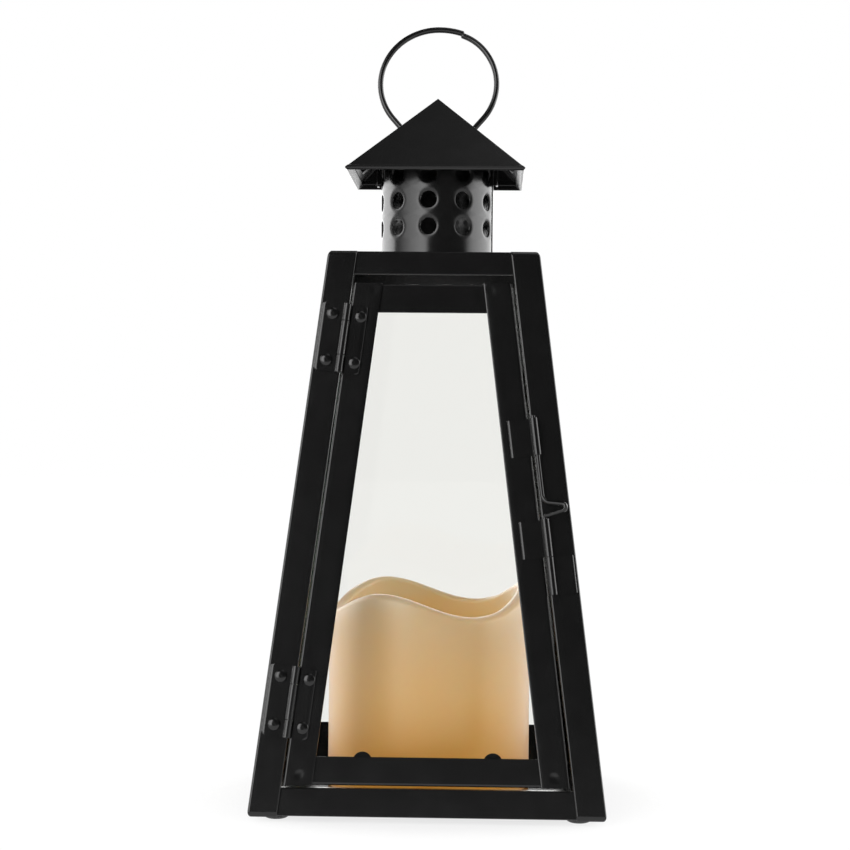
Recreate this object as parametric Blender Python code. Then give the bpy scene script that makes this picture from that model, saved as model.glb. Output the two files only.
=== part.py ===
"""Candle lantern: tapered glazed frame, hinged door, sliding latch, chimney, roof, carry ring, candle.

Frame: +Z up, -Y is the door side, the origin is under the centre of the base at floor level.
Heights called z are measured from the underside of the metal frame, which stands on the feet.
"""
import math

import bmesh
import bpy
from mathutils import Matrix, Vector

# Body
BASE_HALF = 0.0625
TOP_HALF = 0.038
BODY_HEIGHT = 0.199
FOOT_HEIGHT = 0.0018
FOOT_RADIUS = 0.0047
FOOT_FLAT_RADIUS = 0.0026
FOOT_PLACE = 0.053
SHEET = 0.0009
GAP = 0.0003
GLASS = 0.0018
POST_LEG = 0.0105
CORNER_RADIUS = 0.0008
TRAY_SHEET = 0.0008
TRAY_WALL_TOP = 0.009
FLANGE_REACH = 0.014
FRONT_RAIL_TOP = 0.010
SIDE_RAIL_TOP = 0.0175
FRONT_TOP_RAIL_BOTTOM = 0.1905
SIDE_TOP_RAIL_BOTTOM = 0.189
PLATE_RIM_BOTTOM = 0.191
VENT_RADIUS = 0.018

# Door
DOOR_BOTTOM = 0.0111
DOOR_TOP = 0.1874
WINDOW_BOTTOM = 0.021
WINDOW_TOP = 0.177
HINGE_SIDE_GAP = 0.0007
LATCH_SIDE_GAP = 0.0010
STILE_WIDTH = 0.010
TAB_PLACE = 0.0228
TAB_RADIUS = 0.0034

# Hinges and latch
KNUCKLE_RADIUS = 0.0015
HINGE_BORE_RADIUS = 0.00105
PIN_RADIUS = 0.00075
HINGE_LENGTH = 0.0248
HINGE_HEIGHTS = {"upper": 0.1672, "lower": 0.0395}
HINGE_FROM_CORNER = 0.01015
RIVET_ACROSS = 0.0050
RIVET_ALONG = 0.0084
RIVET_HEAD_RADIUS = 0.0021
RIVET_SHANK_RADIUS = 0.0009
RIVET_HOLE_RADIUS = 0.0012
LATCH_FROM_CORNER = 0.0094
LATCH_BORE_RADIUS = 0.0011
BOLT_RADIUS = 0.0008
GUIDE_LENGTH = 0.0132
GUIDE_HEIGHTS = {"upper": 0.1328, "lower": 0.0973}
CATCH_HEIGHT = 0.0840
LOOP_REACH = 0.0098
LOOP_TURN = math.radians(35.0)
STRAP_INSET = 0.0004

# Chimney, roof and ring
CHIMNEY_RADIUS = 0.021
CHIMNEY_SHEET = 0.0006
CHIMNEY_BOTTOM = 0.1991
CHIMNEY_TOP = 0.2387
VENT_HOLE_RADIUS = 0.0031
VENT_ROWS = (0.2098, 0.2196, 0.2294)
VENT_COLUMNS = 10
VENT_START = math.radians(-7.3)
ROOF_HALF = 0.03265
ROOF_EAVE = 0.2296
ROOF_APEX = 0.2596
ROOF_SHEET = 0.0007
RING_RADIUS = 0.0219
RING_WIRE_RADIUS = 0.0011
RING_PIVOT = 0.2482
RING_CENTRE = 0.018
RING_LEAN = math.radians(13.0)
RING_HOLE_RADIUS = 0.0015

# Candle
CANDLE_X = -0.0013
CANDLE_RADIUS = 0.0375
CANDLE_WALL = 0.0048
CANDLE_BOTTOM = 0.0026
CANDLE_RIM = 0.0728
CANDLE_WELL = 0.031
BASE_RADIUS = 0.0315
BASE_TOP = 0.026
BATTERY_RADIUS = 0.00525
BATTERY_LENGTH = 0.0445
SWITCH_TRAVEL = 0.003
SWITCH_PLACE = 0.0225

TAPER = math.atan2(BASE_HALF - TOP_HALF, BODY_HEIGHT)
EDGE_LEAN = math.atan(math.sin(TAPER))
SIDES = {"front": 0, "right": 1, "back": 2, "left": 3}
RAIL_DEPTH = SHEET + GAP
PANE_DEPTH = RAIL_DEPTH + SHEET + GAP
RIM_DEPTH = PANE_DEPTH + GLASS + GAP

# name: (red, green, blue), roughness, metallic, transmission
FINISHES = {
    "black_painted_steel": ((0.012, 0.012, 0.012), 0.38, 0.0, 0.0),
    "clear_glass": ((0.92, 0.94, 0.93), 0.03, 0.0, 0.9),
    "ivory_wax": ((0.83, 0.62, 0.38), 0.45, 0.0, 0.0),
    "ivory_plastic": ((0.72, 0.66, 0.55), 0.4, 0.0, 0.0),
    "black_rubber": ((0.02, 0.02, 0.02), 0.8, 0.0, 0.0),
    "battery_metal": ((0.5, 0.5, 0.52), 0.3, 1.0, 0.0),
    "lamp_lens": ((1.0, 0.72, 0.32), 0.2, 0.0, 0.3),
}


def clear_scene():
    for old in list(bpy.data.objects):
        bpy.data.objects.remove(old)


def finish(name):
    """Material for a finish, made the first time that it is asked for."""
    material = bpy.data.materials.get(name)
    if material:
        return material
    colour, roughness, metallic, transmission = FINISHES[name]
    material = bpy.data.materials.new(name)
    material.use_nodes = True
    shader = material.node_tree.nodes["Principled BSDF"]
    shader.inputs["Base Color"].default_value = (*colour, 1.0)
    shader.inputs["Roughness"].default_value = roughness
    shader.inputs["Metallic"].default_value = metallic
    shader.inputs["Transmission Weight"].default_value = transmission
    return material


def make_object(name, bm, frame, material, pivot=None):
    """Turn a bmesh into a named object in a frame, riding on a pivot if it moves."""
    bmesh.ops.recalc_face_normals(bm, faces=bm.faces)
    mesh = bpy.data.meshes.new(name)
    bm.to_mesh(mesh)
    bm.free()
    mesh.materials.append(finish(material))
    return place(bpy.data.objects.new(name, mesh), frame, pivot)


def place(thing, frame, pivot=None):
    bpy.context.scene.collection.objects.link(thing)
    thing.matrix_basis = frame
    if pivot:
        thing.parent = pivot["empty"]
        thing.matrix_parent_inverse = pivot["frame"].inverted()
    return thing


def make_pivot(name, frame, pivot=None):
    """An empty on a joint's axis; what moves on that joint is its child."""
    empty = place(bpy.data.objects.new(name, None), frame, pivot)
    empty.empty_display_size = 0.01
    return {"empty": empty, "frame": frame}


def smooth(thing, angle=30.0):
    thing.data.shade_smooth()
    thing.data.set_sharp_from_angle(angle=math.radians(angle))
    return thing


def boolean(thing, tool, operation):
    tool.hide_render = True
    tool.display_type = "WIRE"
    modifier = thing.modifiers.new(operation.lower(), "BOOLEAN")
    modifier.operation = operation
    modifier.solver = "EXACT"
    modifier.object = tool
    return thing


# Frames: X across a face, Y inward, Z up the face.

def half_width(z):
    return BASE_HALF - z * math.tan(TAPER)


def inward(z, depth):
    """Horizontal distance in from the foot of a face to a point at height z and depth inside it."""
    return z * math.tan(TAPER) + depth / math.cos(TAPER)


def side_frame(side):
    """Upright frame at the foot of a face: X across it, Y horizontally inward."""
    turn = Matrix.Rotation(SIDES[side] * math.pi / 2, 4, "Z")
    return turn @ Matrix.Translation((0.0, -BASE_HALF, FOOT_HEIGHT))


def face_frame(side):
    """The same frame leaned back so that its X-Z plane is the face."""
    return side_frame(side) @ Matrix.Rotation(-TAPER, 4, "X")


def up_face(z):
    return z / math.cos(TAPER)


def edge_frame(z, from_corner, outward, hand):
    """Frame on a line beside a front corner: Z along the line, hand -1 for left and +1 for right."""
    across = hand * (half_width(z) - from_corner)
    lean = Matrix.Rotation(-hand * EDGE_LEAN, 4, "Y")
    return face_frame("front") @ Matrix.Translation((across, -outward, up_face(z))) @ lean


KNUCKLE_OUT = GAP + KNUCKLE_RADIUS


def hinge_frame(z):
    return edge_frame(z, HINGE_FROM_CORNER, KNUCKLE_OUT, -1)


def latch_frame(z):
    return edge_frame(z, LATCH_FROM_CORNER, KNUCKLE_OUT, 1)


# Shapes

def add_loops(bm, loops, closed_ends=True):
    """Bridge successive vertex loops of equal length, and cap the first and the last."""
    rings = [[bm.verts.new(point) for point in loop] for loop in loops]
    count = len(rings[0])
    for lower, upper in zip(rings, rings[1:]):
        for i in range(count):
            j = (i + 1) % count
            bm.faces.new((lower[i], lower[j], upper[j], upper[i]))
    if closed_ends:
        bm.faces.new(list(reversed(rings[0])))
        bm.faces.new(rings[-1])
    return rings


def add_slab(bm, outline, depth0, depth1):
    """A plate: an outline of (across, up) points, from one depth to another."""
    loops = [[(x, depth, z) for x, z in outline] for depth in (depth0, depth1)]
    add_loops(bm, loops)


def add_box(bm, low, high):
    outline = [(low[0], low[2]), (high[0], low[2]), (high[0], high[2]), (low[0], high[2])]
    add_slab(bm, outline, low[1], high[1])


def add_cylinder(bm, radius, z0, z1, segments, frame=Matrix.Identity(4)):
    loops = []
    for z in (z0, z1):
        loops.append([frame @ Vector(point) for point in circle(radius, z, segments)])
    add_loops(bm, loops)


def circle(radius, z, segments):
    points = []
    for i in range(segments):
        turn = 2 * math.pi * i / segments
        points.append((radius * math.cos(turn), radius * math.sin(turn), z))
    return points


def add_tube(bm, outer, bore, z0, z1, segments):
    """A closed ring-shaped prism around Z."""
    loops = [circle(outer, z0, segments), circle(outer, z1, segments)]
    loops += [circle(bore, z1, segments), circle(bore, z0, segments)]
    rings = add_loops(bm, loops, closed_ends=False)
    for i in range(segments):
        j = (i + 1) % segments
        bm.faces.new((rings[3][i], rings[3][j], rings[0][j], rings[0][i]))


def turned(name, profile, segments, frame, material, pivot=None):
    """A solid of revolution around Z from (radius, z) points that start and end on the axis."""
    bm = bmesh.new()
    loops = [circle(radius, z, segments) for radius, z in profile[1:-1]]
    rings = add_loops(bm, loops, closed_ends=False)
    for ring, (_, z) in ((rings[0], profile[0]), (rings[-1], profile[-1])):
        tip = bm.verts.new((0.0, 0.0, z))
        for i in range(segments):
            bm.faces.new((ring[i], ring[(i + 1) % segments], tip))
    return smooth(make_object(name, bm, frame, material, pivot), 35.0)


def square_shell(name, loops, frame, material):
    """A square pan or plate from (half width, z) loops, capped at both ends."""
    bm = bmesh.new()
    corners = ((-1, -1), (1, -1), (1, 1), (-1, 1))
    add_loops(bm, [[(sx * half, sy * half, z) for sx, sy in corners] for half, z in loops])
    return make_object(name, bm, frame, material)


def slab_object(name, outline, depth0, depth1, frame, material, pivot=None):
    bm = bmesh.new()
    add_slab(bm, outline, depth0, depth1)
    return make_object(name, bm, frame, material, pivot)


def mitred_rail(name, section, side):
    """A frame rail from an (inward, height) section, its ends cut on the corners' diagonals."""
    bm = bmesh.new()
    loops = []
    for hand in (-1, 1):
        loops.append([(hand * (BASE_HALF - y - GAP), y, z) for y, z in section])
    add_loops(bm, loops)
    return make_object(name, bm, side_frame(side), "black_painted_steel")


def wire(name, points, radius, frame, pivot):
    """A bent wire of round section through the points."""
    curve = bpy.data.curves.new(name, "CURVE")
    curve.dimensions = "3D"
    curve.bevel_depth = radius
    curve.bevel_resolution = 2
    curve.use_fill_caps = True
    spline = curve.splines.new("POLY")
    spline.points.add(len(points) - 1)
    for spot, point in zip(spline.points, points):
        spot.co = (*point, 1.0)
    curve.materials.append(finish("black_painted_steel"))
    return place(bpy.data.objects.new(name, curve), frame, pivot)


def arc_points(centre, radius, start, end, steps):
    points = []
    for i in range(steps + 1):
        turn = start + (end - start) * i / steps
        points.append((centre[0] + radius * math.cos(turn), centre[1] + radius * math.sin(turn)))
    return points


# Frame

def post_section(corner):
    """L-shaped section of the front left post, its outer corner at (-corner, -corner)."""
    wall = SHEET / math.cos(TAPER)
    bend = arc_points((CORNER_RADIUS, CORNER_RADIUS), CORNER_RADIUS, math.pi, 1.5 * math.pi, 3)
    section = [(0.0, POST_LEG)] + bend + [(POST_LEG, 0.0), (POST_LEG, wall)]
    section += [(wall, wall), (wall, POST_LEG)]
    return [(x - corner, y - corner) for x, y in section]


def build_posts():
    names = ("post_front_left", "post_front_right", "post_back_right", "post_back_left")
    for index, name in enumerate(names):
        bm = bmesh.new()
        loops = []
        for z in (0.0, BODY_HEIGHT):
            loops.append([(x, y, z) for x, y in post_section(half_width(z))])
        add_loops(bm, loops)
        frame = Matrix.Rotation(index * math.pi / 2, 4, "Z") @ Matrix.Translation((0, 0, FOOT_HEIGHT))
        post = smooth(make_object(name, bm, frame, "black_painted_steel"))
        if name == "post_front_left":
            boolean(post, rivet_hole_cutter("post_rivet_holes", -1), "DIFFERENCE")


def bottom_rail_section(top, sill):
    """Web behind the posts with a flange under the floor tray, and a sill under the door."""
    back = RAIL_DEPTH + SHEET
    flange_top = GAP + SHEET
    section = [(inward(GAP, RAIL_DEPTH), GAP), (FLANGE_REACH, GAP), (FLANGE_REACH, flange_top)]
    section.append((inward(flange_top, back), flange_top))
    if sill:
        under = top - SHEET
        section.append((inward(under, back), under))
        section.append((inward(under, back + GLASS + GAP), under))
        section.append((inward(top, back + GLASS + GAP), top))
    else:
        section.append((inward(top, back), top))
    section.append((inward(top, RAIL_DEPTH), top))
    return section


def build_rails():
    for side in SIDES:
        front = side == "front"
        top = FRONT_RAIL_TOP if front else SIDE_RAIL_TOP
        mitred_rail("bottom_rail_" + side, bottom_rail_section(top, front), side)
        low = FRONT_TOP_RAIL_BOTTOM if front else SIDE_TOP_RAIL_BOTTOM
        high = BODY_HEIGHT - 0.0001
        back = RAIL_DEPTH + SHEET
        section = [(inward(low, RAIL_DEPTH), low), (inward(low, back), low)]
        section += [(inward(high, back), high), (inward(high, RAIL_DEPTH), high)]
        mitred_rail("top_rail_" + side, section, side)


def build_floor_and_top():
    def at(z, depth):
        return (half_width(z) - depth / math.cos(TAPER), z)

    lift = Matrix.Translation((0, 0, FOOT_HEIGHT))
    inner = RIM_DEPTH + TRAY_SHEET
    floor = 2 * GAP + SHEET
    tray = [at(floor, RIM_DEPTH), at(TRAY_WALL_TOP, RIM_DEPTH), at(TRAY_WALL_TOP, inner)]
    tray.append(at(floor + TRAY_SHEET, inner))
    square_shell("floor_tray", tray, lift, "black_painted_steel")

    top = BODY_HEIGHT - 0.0002
    under = top - TRAY_SHEET
    plate = [at(under, inner), at(PLATE_RIM_BOTTOM, inner), at(PLATE_RIM_BOTTOM, RIM_DEPTH)]
    plate += [at(under, RIM_DEPTH), at(under, PANE_DEPTH), at(top, PANE_DEPTH)]
    cover = square_shell("top_plate", plate, lift, "black_painted_steel")
    bm = bmesh.new()
    add_cylinder(bm, VENT_RADIUS, PLATE_RIM_BOTTOM, CHIMNEY_TOP, 32)
    vent = make_object("vent_cutter", bm, lift, "black_painted_steel")
    boolean(cover, vent, "DIFFERENCE")


def build_panes():
    bottom = up_face(2 * GAP + SHEET) + GAP
    top = up_face(BODY_HEIGHT - 0.0002 - TRAY_SHEET) - 2 * GAP
    edge = RIM_DEPTH
    for side in ("right", "back", "left"):
        outline = []
        for z, hand in ((bottom, -1), (bottom, 1), (top, 1), (top, -1)):
            outline.append((hand * (BASE_HALF - z * math.sin(TAPER) - edge), z))
        slab_object("glass_" + side, outline, PANE_DEPTH, PANE_DEPTH + GLASS,
                    face_frame(side), "clear_glass")


def build_feet():
    rise = FOOT_HEIGHT
    profile = [(0.0, 0.0), (FOOT_FLAT_RADIUS, 0.0), (0.0038, 0.0004), (0.0045, 0.0010)]
    profile += [(FOOT_RADIUS, rise), (0.0, rise)]
    for name, x, y in (("foot_front_left", -1, -1), ("foot_front_right", 1, -1),
                       ("foot_back_right", 1, 1), ("foot_back_left", -1, 1)):
        spot = Matrix.Translation((x * FOOT_PLACE, y * FOOT_PLACE, 0.0))
        turned(name, profile, 16, spot, "black_rubber")


# Door

def door_edge(z, hand):
    """Distance across from the middle to the door's edge, at height z up the face."""
    gap = HINGE_SIDE_GAP if hand < 0 else LATCH_SIDE_GAP
    return BASE_HALF - z * math.sin(TAPER) - POST_LEG - gap


def build_door(pivot):
    frame = face_frame("front")
    low, high = up_face(DOOR_BOTTOM), up_face(DOOR_TOP)
    for name, hand in (("door_stile_left", -1), ("door_stile_right", 1)):
        outline = [(hand * door_edge(low, hand), low)]
        outline.append((hand * (door_edge(low, hand) - STILE_WIDTH), low))
        outline.append((hand * (door_edge(high, hand) - STILE_WIDTH), high))
        outline.append((hand * door_edge(high, hand), high))
        stile = slab_object(name, outline, 0.0, SHEET, frame, "black_painted_steel", pivot)
        if hand < 0:
            boolean(stile, rivet_hole_cutter("stile_rivet_holes", 1), "DIFFERENCE")
    build_door_rail("door_rail_bottom", low + 0.0001, up_face(WINDOW_BOTTOM), 1, frame, pivot)
    build_door_rail("door_rail_top", high - 0.0001, up_face(WINDOW_TOP), -1, frame, pivot)
    build_door_glass(low + 0.0001 + TRAY_SHEET + GAP, high - 0.0001 - TRAY_SHEET - GAP, frame, pivot)


def build_door_rail(name, outer, inner, up, frame, pivot):
    """Angle rail behind the stiles; two half-round tabs stand up from its flange behind the glass."""
    web_front = SHEET + GAP
    web_back = web_front + TRAY_SHEET
    tab_front = web_back + GAP + GLASS + GAP
    flange_end = tab_front + 0.6 * TRAY_SHEET
    step = up * TRAY_SHEET
    section = [(web_front, outer), (flange_end, outer), (flange_end, outer + step)]
    section += [(web_back, outer + step), (web_back, inner), (web_front, inner)]
    bm = bmesh.new()
    end_inset = 0.001
    loops = []
    for hand in (-1, 1):
        loops.append([(hand * (door_edge(z, hand) - end_inset), y, z) for y, z in section])
    add_loops(bm, loops)
    rail = make_object(name, bm, frame, "black_painted_steel", pivot)

    tabs = bmesh.new()
    reach = inner + (0.0018 if up > 0 else 0.0012)
    for place_x in (-TAB_PLACE, TAB_PLACE):
        centre = (place_x, reach - up * TAB_RADIUS)
        outline = arc_points(centre, TAB_RADIUS, 0.0, up * math.pi, 8)
        outline += [(place_x - TAB_RADIUS, outer + 0.4 * step), (place_x + TAB_RADIUS, outer + 0.4 * step)]
        add_slab(tabs, outline, tab_front, tab_front + TRAY_SHEET)
    tab_object = make_object(name + "_tabs", tabs, frame, "black_painted_steel", pivot)
    boolean(rail, tab_object, "UNION")


def build_door_glass(low, high, frame, pivot):
    front = SHEET + GAP + TRAY_SHEET + GAP
    outline = []
    for z, hand in ((low, -1), (low, 1), (high, 1), (high, -1)):
        outline.append((hand * (door_edge(z, hand) - 0.0018), z))
    slab_object("door_glass", outline, front, front + GLASS, frame, "clear_glass", pivot)


# Hinges, in the hinge frame: X across to the door, Y inward, Z along the pin

LEAF_FRONT = KNUCKLE_RADIUS - TRAY_SHEET
LEAF_BACK = KNUCKLE_RADIUS


def rivet_spots(hand):
    """Rivet frames in world space on the post's leaf (-1) or the door's leaf (+1)."""
    spots = {}
    for hinge, height in HINGE_HEIGHTS.items():
        for level, up in (("top", 1), ("bottom", -1)):
            shift = Matrix.Translation((hand * RIVET_ACROSS, LEAF_FRONT, up * RIVET_ALONG))
            spots[hinge + "_" + level] = hinge_frame(height) @ shift @ Matrix.Rotation(math.pi / 2, 4, "X")
    return spots


def rivet_hole_cutter(name, hand):
    bm = bmesh.new()
    for spot in rivet_spots(hand).values():
        add_cylinder(bm, RIVET_HOLE_RADIUS, -0.0035, 0.0015, 12, spot)
    return make_object(name, bm, Matrix.Identity(4), "black_painted_steel")


def build_rivets(door_pivot):
    """Domed heads outside, a shank through leaf and strip, and a flat clinched tail inside."""
    grip = TRAY_SHEET + GAP + SHEET
    profile = [(0.0, 0.00135), (0.0009, 0.00123), (0.0016, 0.00088), (RIVET_HEAD_RADIUS, GAP)]
    profile += [(RIVET_SHANK_RADIUS, GAP), (RIVET_SHANK_RADIUS, -grip - GAP)]
    profile += [(0.0015, -grip - GAP), (0.0014, -grip - 2 * GAP - 0.0001), (0.0, -grip - 2 * GAP - 0.0002)]
    for leaf, hand, pivot in (("post", -1, None), ("door", 1, door_pivot)):
        for place_name, spot in rivet_spots(hand).items():
            name = "rivet_" + leaf + "_" + place_name
            turned(name, profile, 12, spot, "black_painted_steel", pivot)


def build_hinge(name, height, door_pivot):
    """Post leaf with the two outer knuckles, door leaf with the middle one, and a pin."""
    frame = hinge_frame(height)
    half = HINGE_LENGTH / 2
    middle = HINGE_LENGTH / 4
    post_edge = HINGE_FROM_CORNER - STRAP_INSET
    clear = KNUCKLE_RADIUS + GAP
    root = 0.0008
    holes = 0.5 * GAP
    leaves = (
        ("post_leaf", None, -1, post_edge, [(-half, -middle - holes), (middle + holes, half)]),
        ("door_leaf", door_pivot, 1, 0.0072, [(-middle + holes, middle - holes)]),
    )
    for leaf, pivot, hand, width, knuckles in leaves:
        node = "hinge_" + name + "_" + leaf
        outline = leaf_outline(hand, clear, width, half, knuckles, root)
        bm = bmesh.new()
        add_slab(bm, outline, LEAF_FRONT, LEAF_BACK)
        plate = make_object(node, bm, frame, "black_painted_steel", pivot)
        tubes = bmesh.new()
        for z0, z1 in knuckles:
            add_tube(tubes, KNUCKLE_RADIUS + 0.00002, HINGE_BORE_RADIUS, z0 + 0.00002, z1 - 0.00002, 14)
        barrel = make_object(node + "_knuckles", tubes, frame, "black_painted_steel", pivot)
        boolean(plate, barrel, "UNION")
        holes_bm = bmesh.new()
        for up in (-1, 1):
            spot = Matrix.Translation((hand * RIVET_ACROSS, LEAF_FRONT, up * RIVET_ALONG))
            turn = Matrix.Rotation(math.pi / 2, 4, "X")
            add_cylinder(holes_bm, RIVET_HOLE_RADIUS, -0.002, 0.001, 12, spot @ turn)
        cutter = make_object(node + "_holes", holes_bm, frame, "black_painted_steel", pivot)
        boolean(plate, cutter, "DIFFERENCE")
    pin = [(0.0, -half), (PIN_RADIUS, -half), (PIN_RADIUS, half), (0.0, half)]
    turned("hinge_" + name + "_pin", pin, 12, frame, "black_painted_steel")


def leaf_outline(hand, clear, width, half, knuckles, root):
    """Leaf plate whose edge steps in to the pin line at its own knuckles."""
    outline = [(hand * width, -half), (hand * width, half)]
    inner = []
    z = half
    for z0, z1 in reversed(knuckles):
        if z1 < z:
            inner += [(hand * clear, z), (hand * clear, z1)]
        inner += [(hand * root, z1), (hand * root, z0)]
        z = z0
    if z > -half:
        inner += [(hand * clear, z), (hand * clear, -half)]
    return outline + inner


# Latch, in the latch frame: X across towards the corner, Y inward, Z along the bolt

def build_guides(door_pivot):
    for level, height in GUIDE_HEIGHTS.items():
        latch_strap("latch_guide_" + level, height, -LATCH_FROM_CORNER, door_pivot)
    latch_strap("latch_catch", CATCH_HEIGHT, LATCH_FROM_CORNER - STRAP_INSET, None)


def latch_strap(name, height, reach, pivot):
    """Flat strap with one edge rolled into a tube for the bolt."""
    frame = latch_frame(height)
    half = GUIDE_LENGTH / 2
    hand = 1 if reach > 0 else -1
    outline = [(hand * 0.0007, -half), (reach, -half), (reach, half), (hand * 0.0007, half)]
    bm = bmesh.new()
    add_slab(bm, outline, LEAF_FRONT, LEAF_BACK)
    strap = make_object(name, bm, frame, "black_painted_steel", pivot)
    tube = bmesh.new()
    add_tube(tube, KNUCKLE_RADIUS + 0.00002, LATCH_BORE_RADIUS, 0.00002 - half, half - 0.00002, 14)
    barrel = make_object(name + "_tube", tube, frame, "black_painted_steel", pivot)
    boolean(strap, barrel, "UNION")


def bolt_points():
    """Bolt route in the latch frame of the lower guide: straight, out round the finger loop, straight."""
    level = up_face(1.0) / math.cos(EDGE_LEAN)
    foot = (0.0797 - GUIDE_HEIGHTS["lower"]) * level
    shoulder = (0.1049 - GUIDE_HEIGHTS["lower"]) * level
    knee = (0.1125 - GUIDE_HEIGHTS["lower"]) * level
    head = (0.1400 - GUIDE_HEIGHTS["lower"]) * level
    tip_radius = 0.00115
    tip_centre = (LOOP_REACH - BOLT_RADIUS - tip_radius, shoulder + 0.0029)
    route = [(0.0, foot), (0.0, shoulder - 0.0008)]
    route += arc_points((0.0008, shoulder - 0.0008), 0.0008, math.pi, 0.6 * math.pi, 3)[1:]
    route += arc_points(tip_centre, tip_radius, -0.45 * math.pi, 0.45 * math.pi, 8)
    bend = 0.0034
    route += arc_points((bend, knee), bend, 1.42 * math.pi, math.pi, 5)
    route.append((0.0, head))
    return [(x * math.cos(LOOP_TURN), -x * math.sin(LOOP_TURN), z) for x, z in route]


# Chimney, roof and ring

def build_chimney():
    lift = Matrix.Translation((0, 0, FOOT_HEIGHT))
    bm = bmesh.new()
    add_tube(bm, CHIMNEY_RADIUS, CHIMNEY_RADIUS - CHIMNEY_SHEET, CHIMNEY_BOTTOM, CHIMNEY_TOP, 40)
    chimney = smooth(make_object("chimney", bm, lift, "black_painted_steel"))
    holes = bmesh.new()
    for height in VENT_ROWS:
        for column in range(VENT_COLUMNS):
            turn = VENT_START + 2 * math.pi * column / VENT_COLUMNS
            aim = Matrix.Rotation(turn, 4, "Z") @ Matrix.Rotation(math.pi / 2, 4, "X")
            spot = Matrix.Translation((0.0, 0.0, height)) @ aim
            add_cylinder(holes, VENT_HOLE_RADIUS, CHIMNEY_RADIUS - 0.003, CHIMNEY_RADIUS + 0.002, 12, spot)
    cutter = make_object("chimney_hole_cutter", holes, lift, "black_painted_steel")
    boolean(chimney, cutter, "DIFFERENCE")


def roof_slope():
    return (ROOF_APEX - ROOF_EAVE) / ROOF_HALF


def build_roof():
    """Pyramid of thin sheet, open below, with two holes for the ring in its left and right slopes."""
    lift = Matrix.Translation((0, 0, FOOT_HEIGHT))
    drop = ROOF_SHEET / math.cos(math.atan(roof_slope()))
    bm = bmesh.new()
    corners = ((-1, -1), (1, -1), (1, 1), (-1, 1))
    outer = [bm.verts.new((x * ROOF_HALF, y * ROOF_HALF, ROOF_EAVE)) for x, y in corners]
    inner_half = ROOF_HALF - drop / roof_slope()
    inner = [bm.verts.new((x * inner_half, y * inner_half, ROOF_EAVE)) for x, y in corners]
    apex = bm.verts.new((0.0, 0.0, ROOF_APEX))
    under = bm.verts.new((0.0, 0.0, ROOF_APEX - drop))
    for i in range(4):
        j = (i + 1) % 4
        bm.faces.new((outer[i], outer[j], apex))
        bm.faces.new((inner[j], inner[i], under))
        bm.faces.new((outer[j], outer[i], inner[i], inner[j]))
    roof = make_object("roof_cap", bm, lift, "black_painted_steel")
    hole = bmesh.new()
    along_x = Matrix.Translation((0.0, 0.0, RING_PIVOT)) @ Matrix.Rotation(math.pi / 2, 4, "Y")
    add_cylinder(hole, RING_HOLE_RADIUS, -0.02, 0.02, 12, along_x)
    boolean(roof, make_object("ring_hole_cutter", hole, lift, "black_painted_steel"), "DIFFERENCE")


def build_roof_brackets():
    """Bent strips that hold the roof to the chimney's left and right, between vent columns."""
    drop = ROOF_SHEET / math.cos(math.atan(roof_slope())) + GAP
    wall = CHIMNEY_RADIUS + 0.0010
    thick = 0.0007

    def under_roof(x, extra=0.0):
        return ROOF_APEX - drop - extra - x * roof_slope()

    section = [(0.0285, under_roof(0.0285)), (0.0235, under_roof(0.0235))]
    section += [(wall, under_roof(0.0235)), (wall, 0.2265), (wall + thick, 0.2265)]
    section += [(wall + thick, under_roof(0.0235, 0.0010)), (0.0233, under_roof(0.0235, 0.0010))]
    section.append((0.0282, under_roof(0.0282, 0.0010)))
    for name, turn in (("roof_bracket_right", 0.0), ("roof_bracket_left", math.pi)):
        bm = bmesh.new()
        add_slab(bm, section, -0.0052, -0.0002)
        frame = Matrix.Translation((0, 0, FOOT_HEIGHT)) @ Matrix.Rotation(turn, 4, "Z")
        make_object(name, bm, frame, "black_painted_steel")


def ring_points():
    """Ring route in its own plane, from the butt joint round through both roof holes and back."""
    joint = math.radians(90.0 - 24.0)
    half_gap = 0.5 * GAP / RING_RADIUS
    leave = math.asin((0.0040 - RING_CENTRE) / RING_RADIUS)
    right = arc_points((0.0, RING_CENTRE), RING_RADIUS, joint - half_gap, leave, 16)
    left = arc_points((0.0, RING_CENTRE), RING_RADIUS, math.pi - leave, joint + half_gap, 22)
    corner = right[-1][0] + right[-1][1] / math.tan(leave + math.pi / 2) * -1.0
    bend = 0.0008
    slope = math.pi / 2 + leave
    knees = [(corner + bend * math.cos(slope), bend * math.sin(slope)), (corner, 0.00018)]
    knees.append((corner - bend, 0.0))
    middle = knees + [(-x, z) for x, z in reversed(knees)]
    return [(x, 0.0, z) for x, z in right + middle + left]


# Candle

def rim_height(turn):
    """Three soft waves round the rim, a little higher at the back; turn runs from the front to +X."""
    waves = 0.0044 * math.cos(3 * (turn + math.radians(27.0)))
    tilt = 0.0017 * math.cos(turn - math.radians(155.0))
    return CANDLE_RIM + waves + tilt


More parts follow.
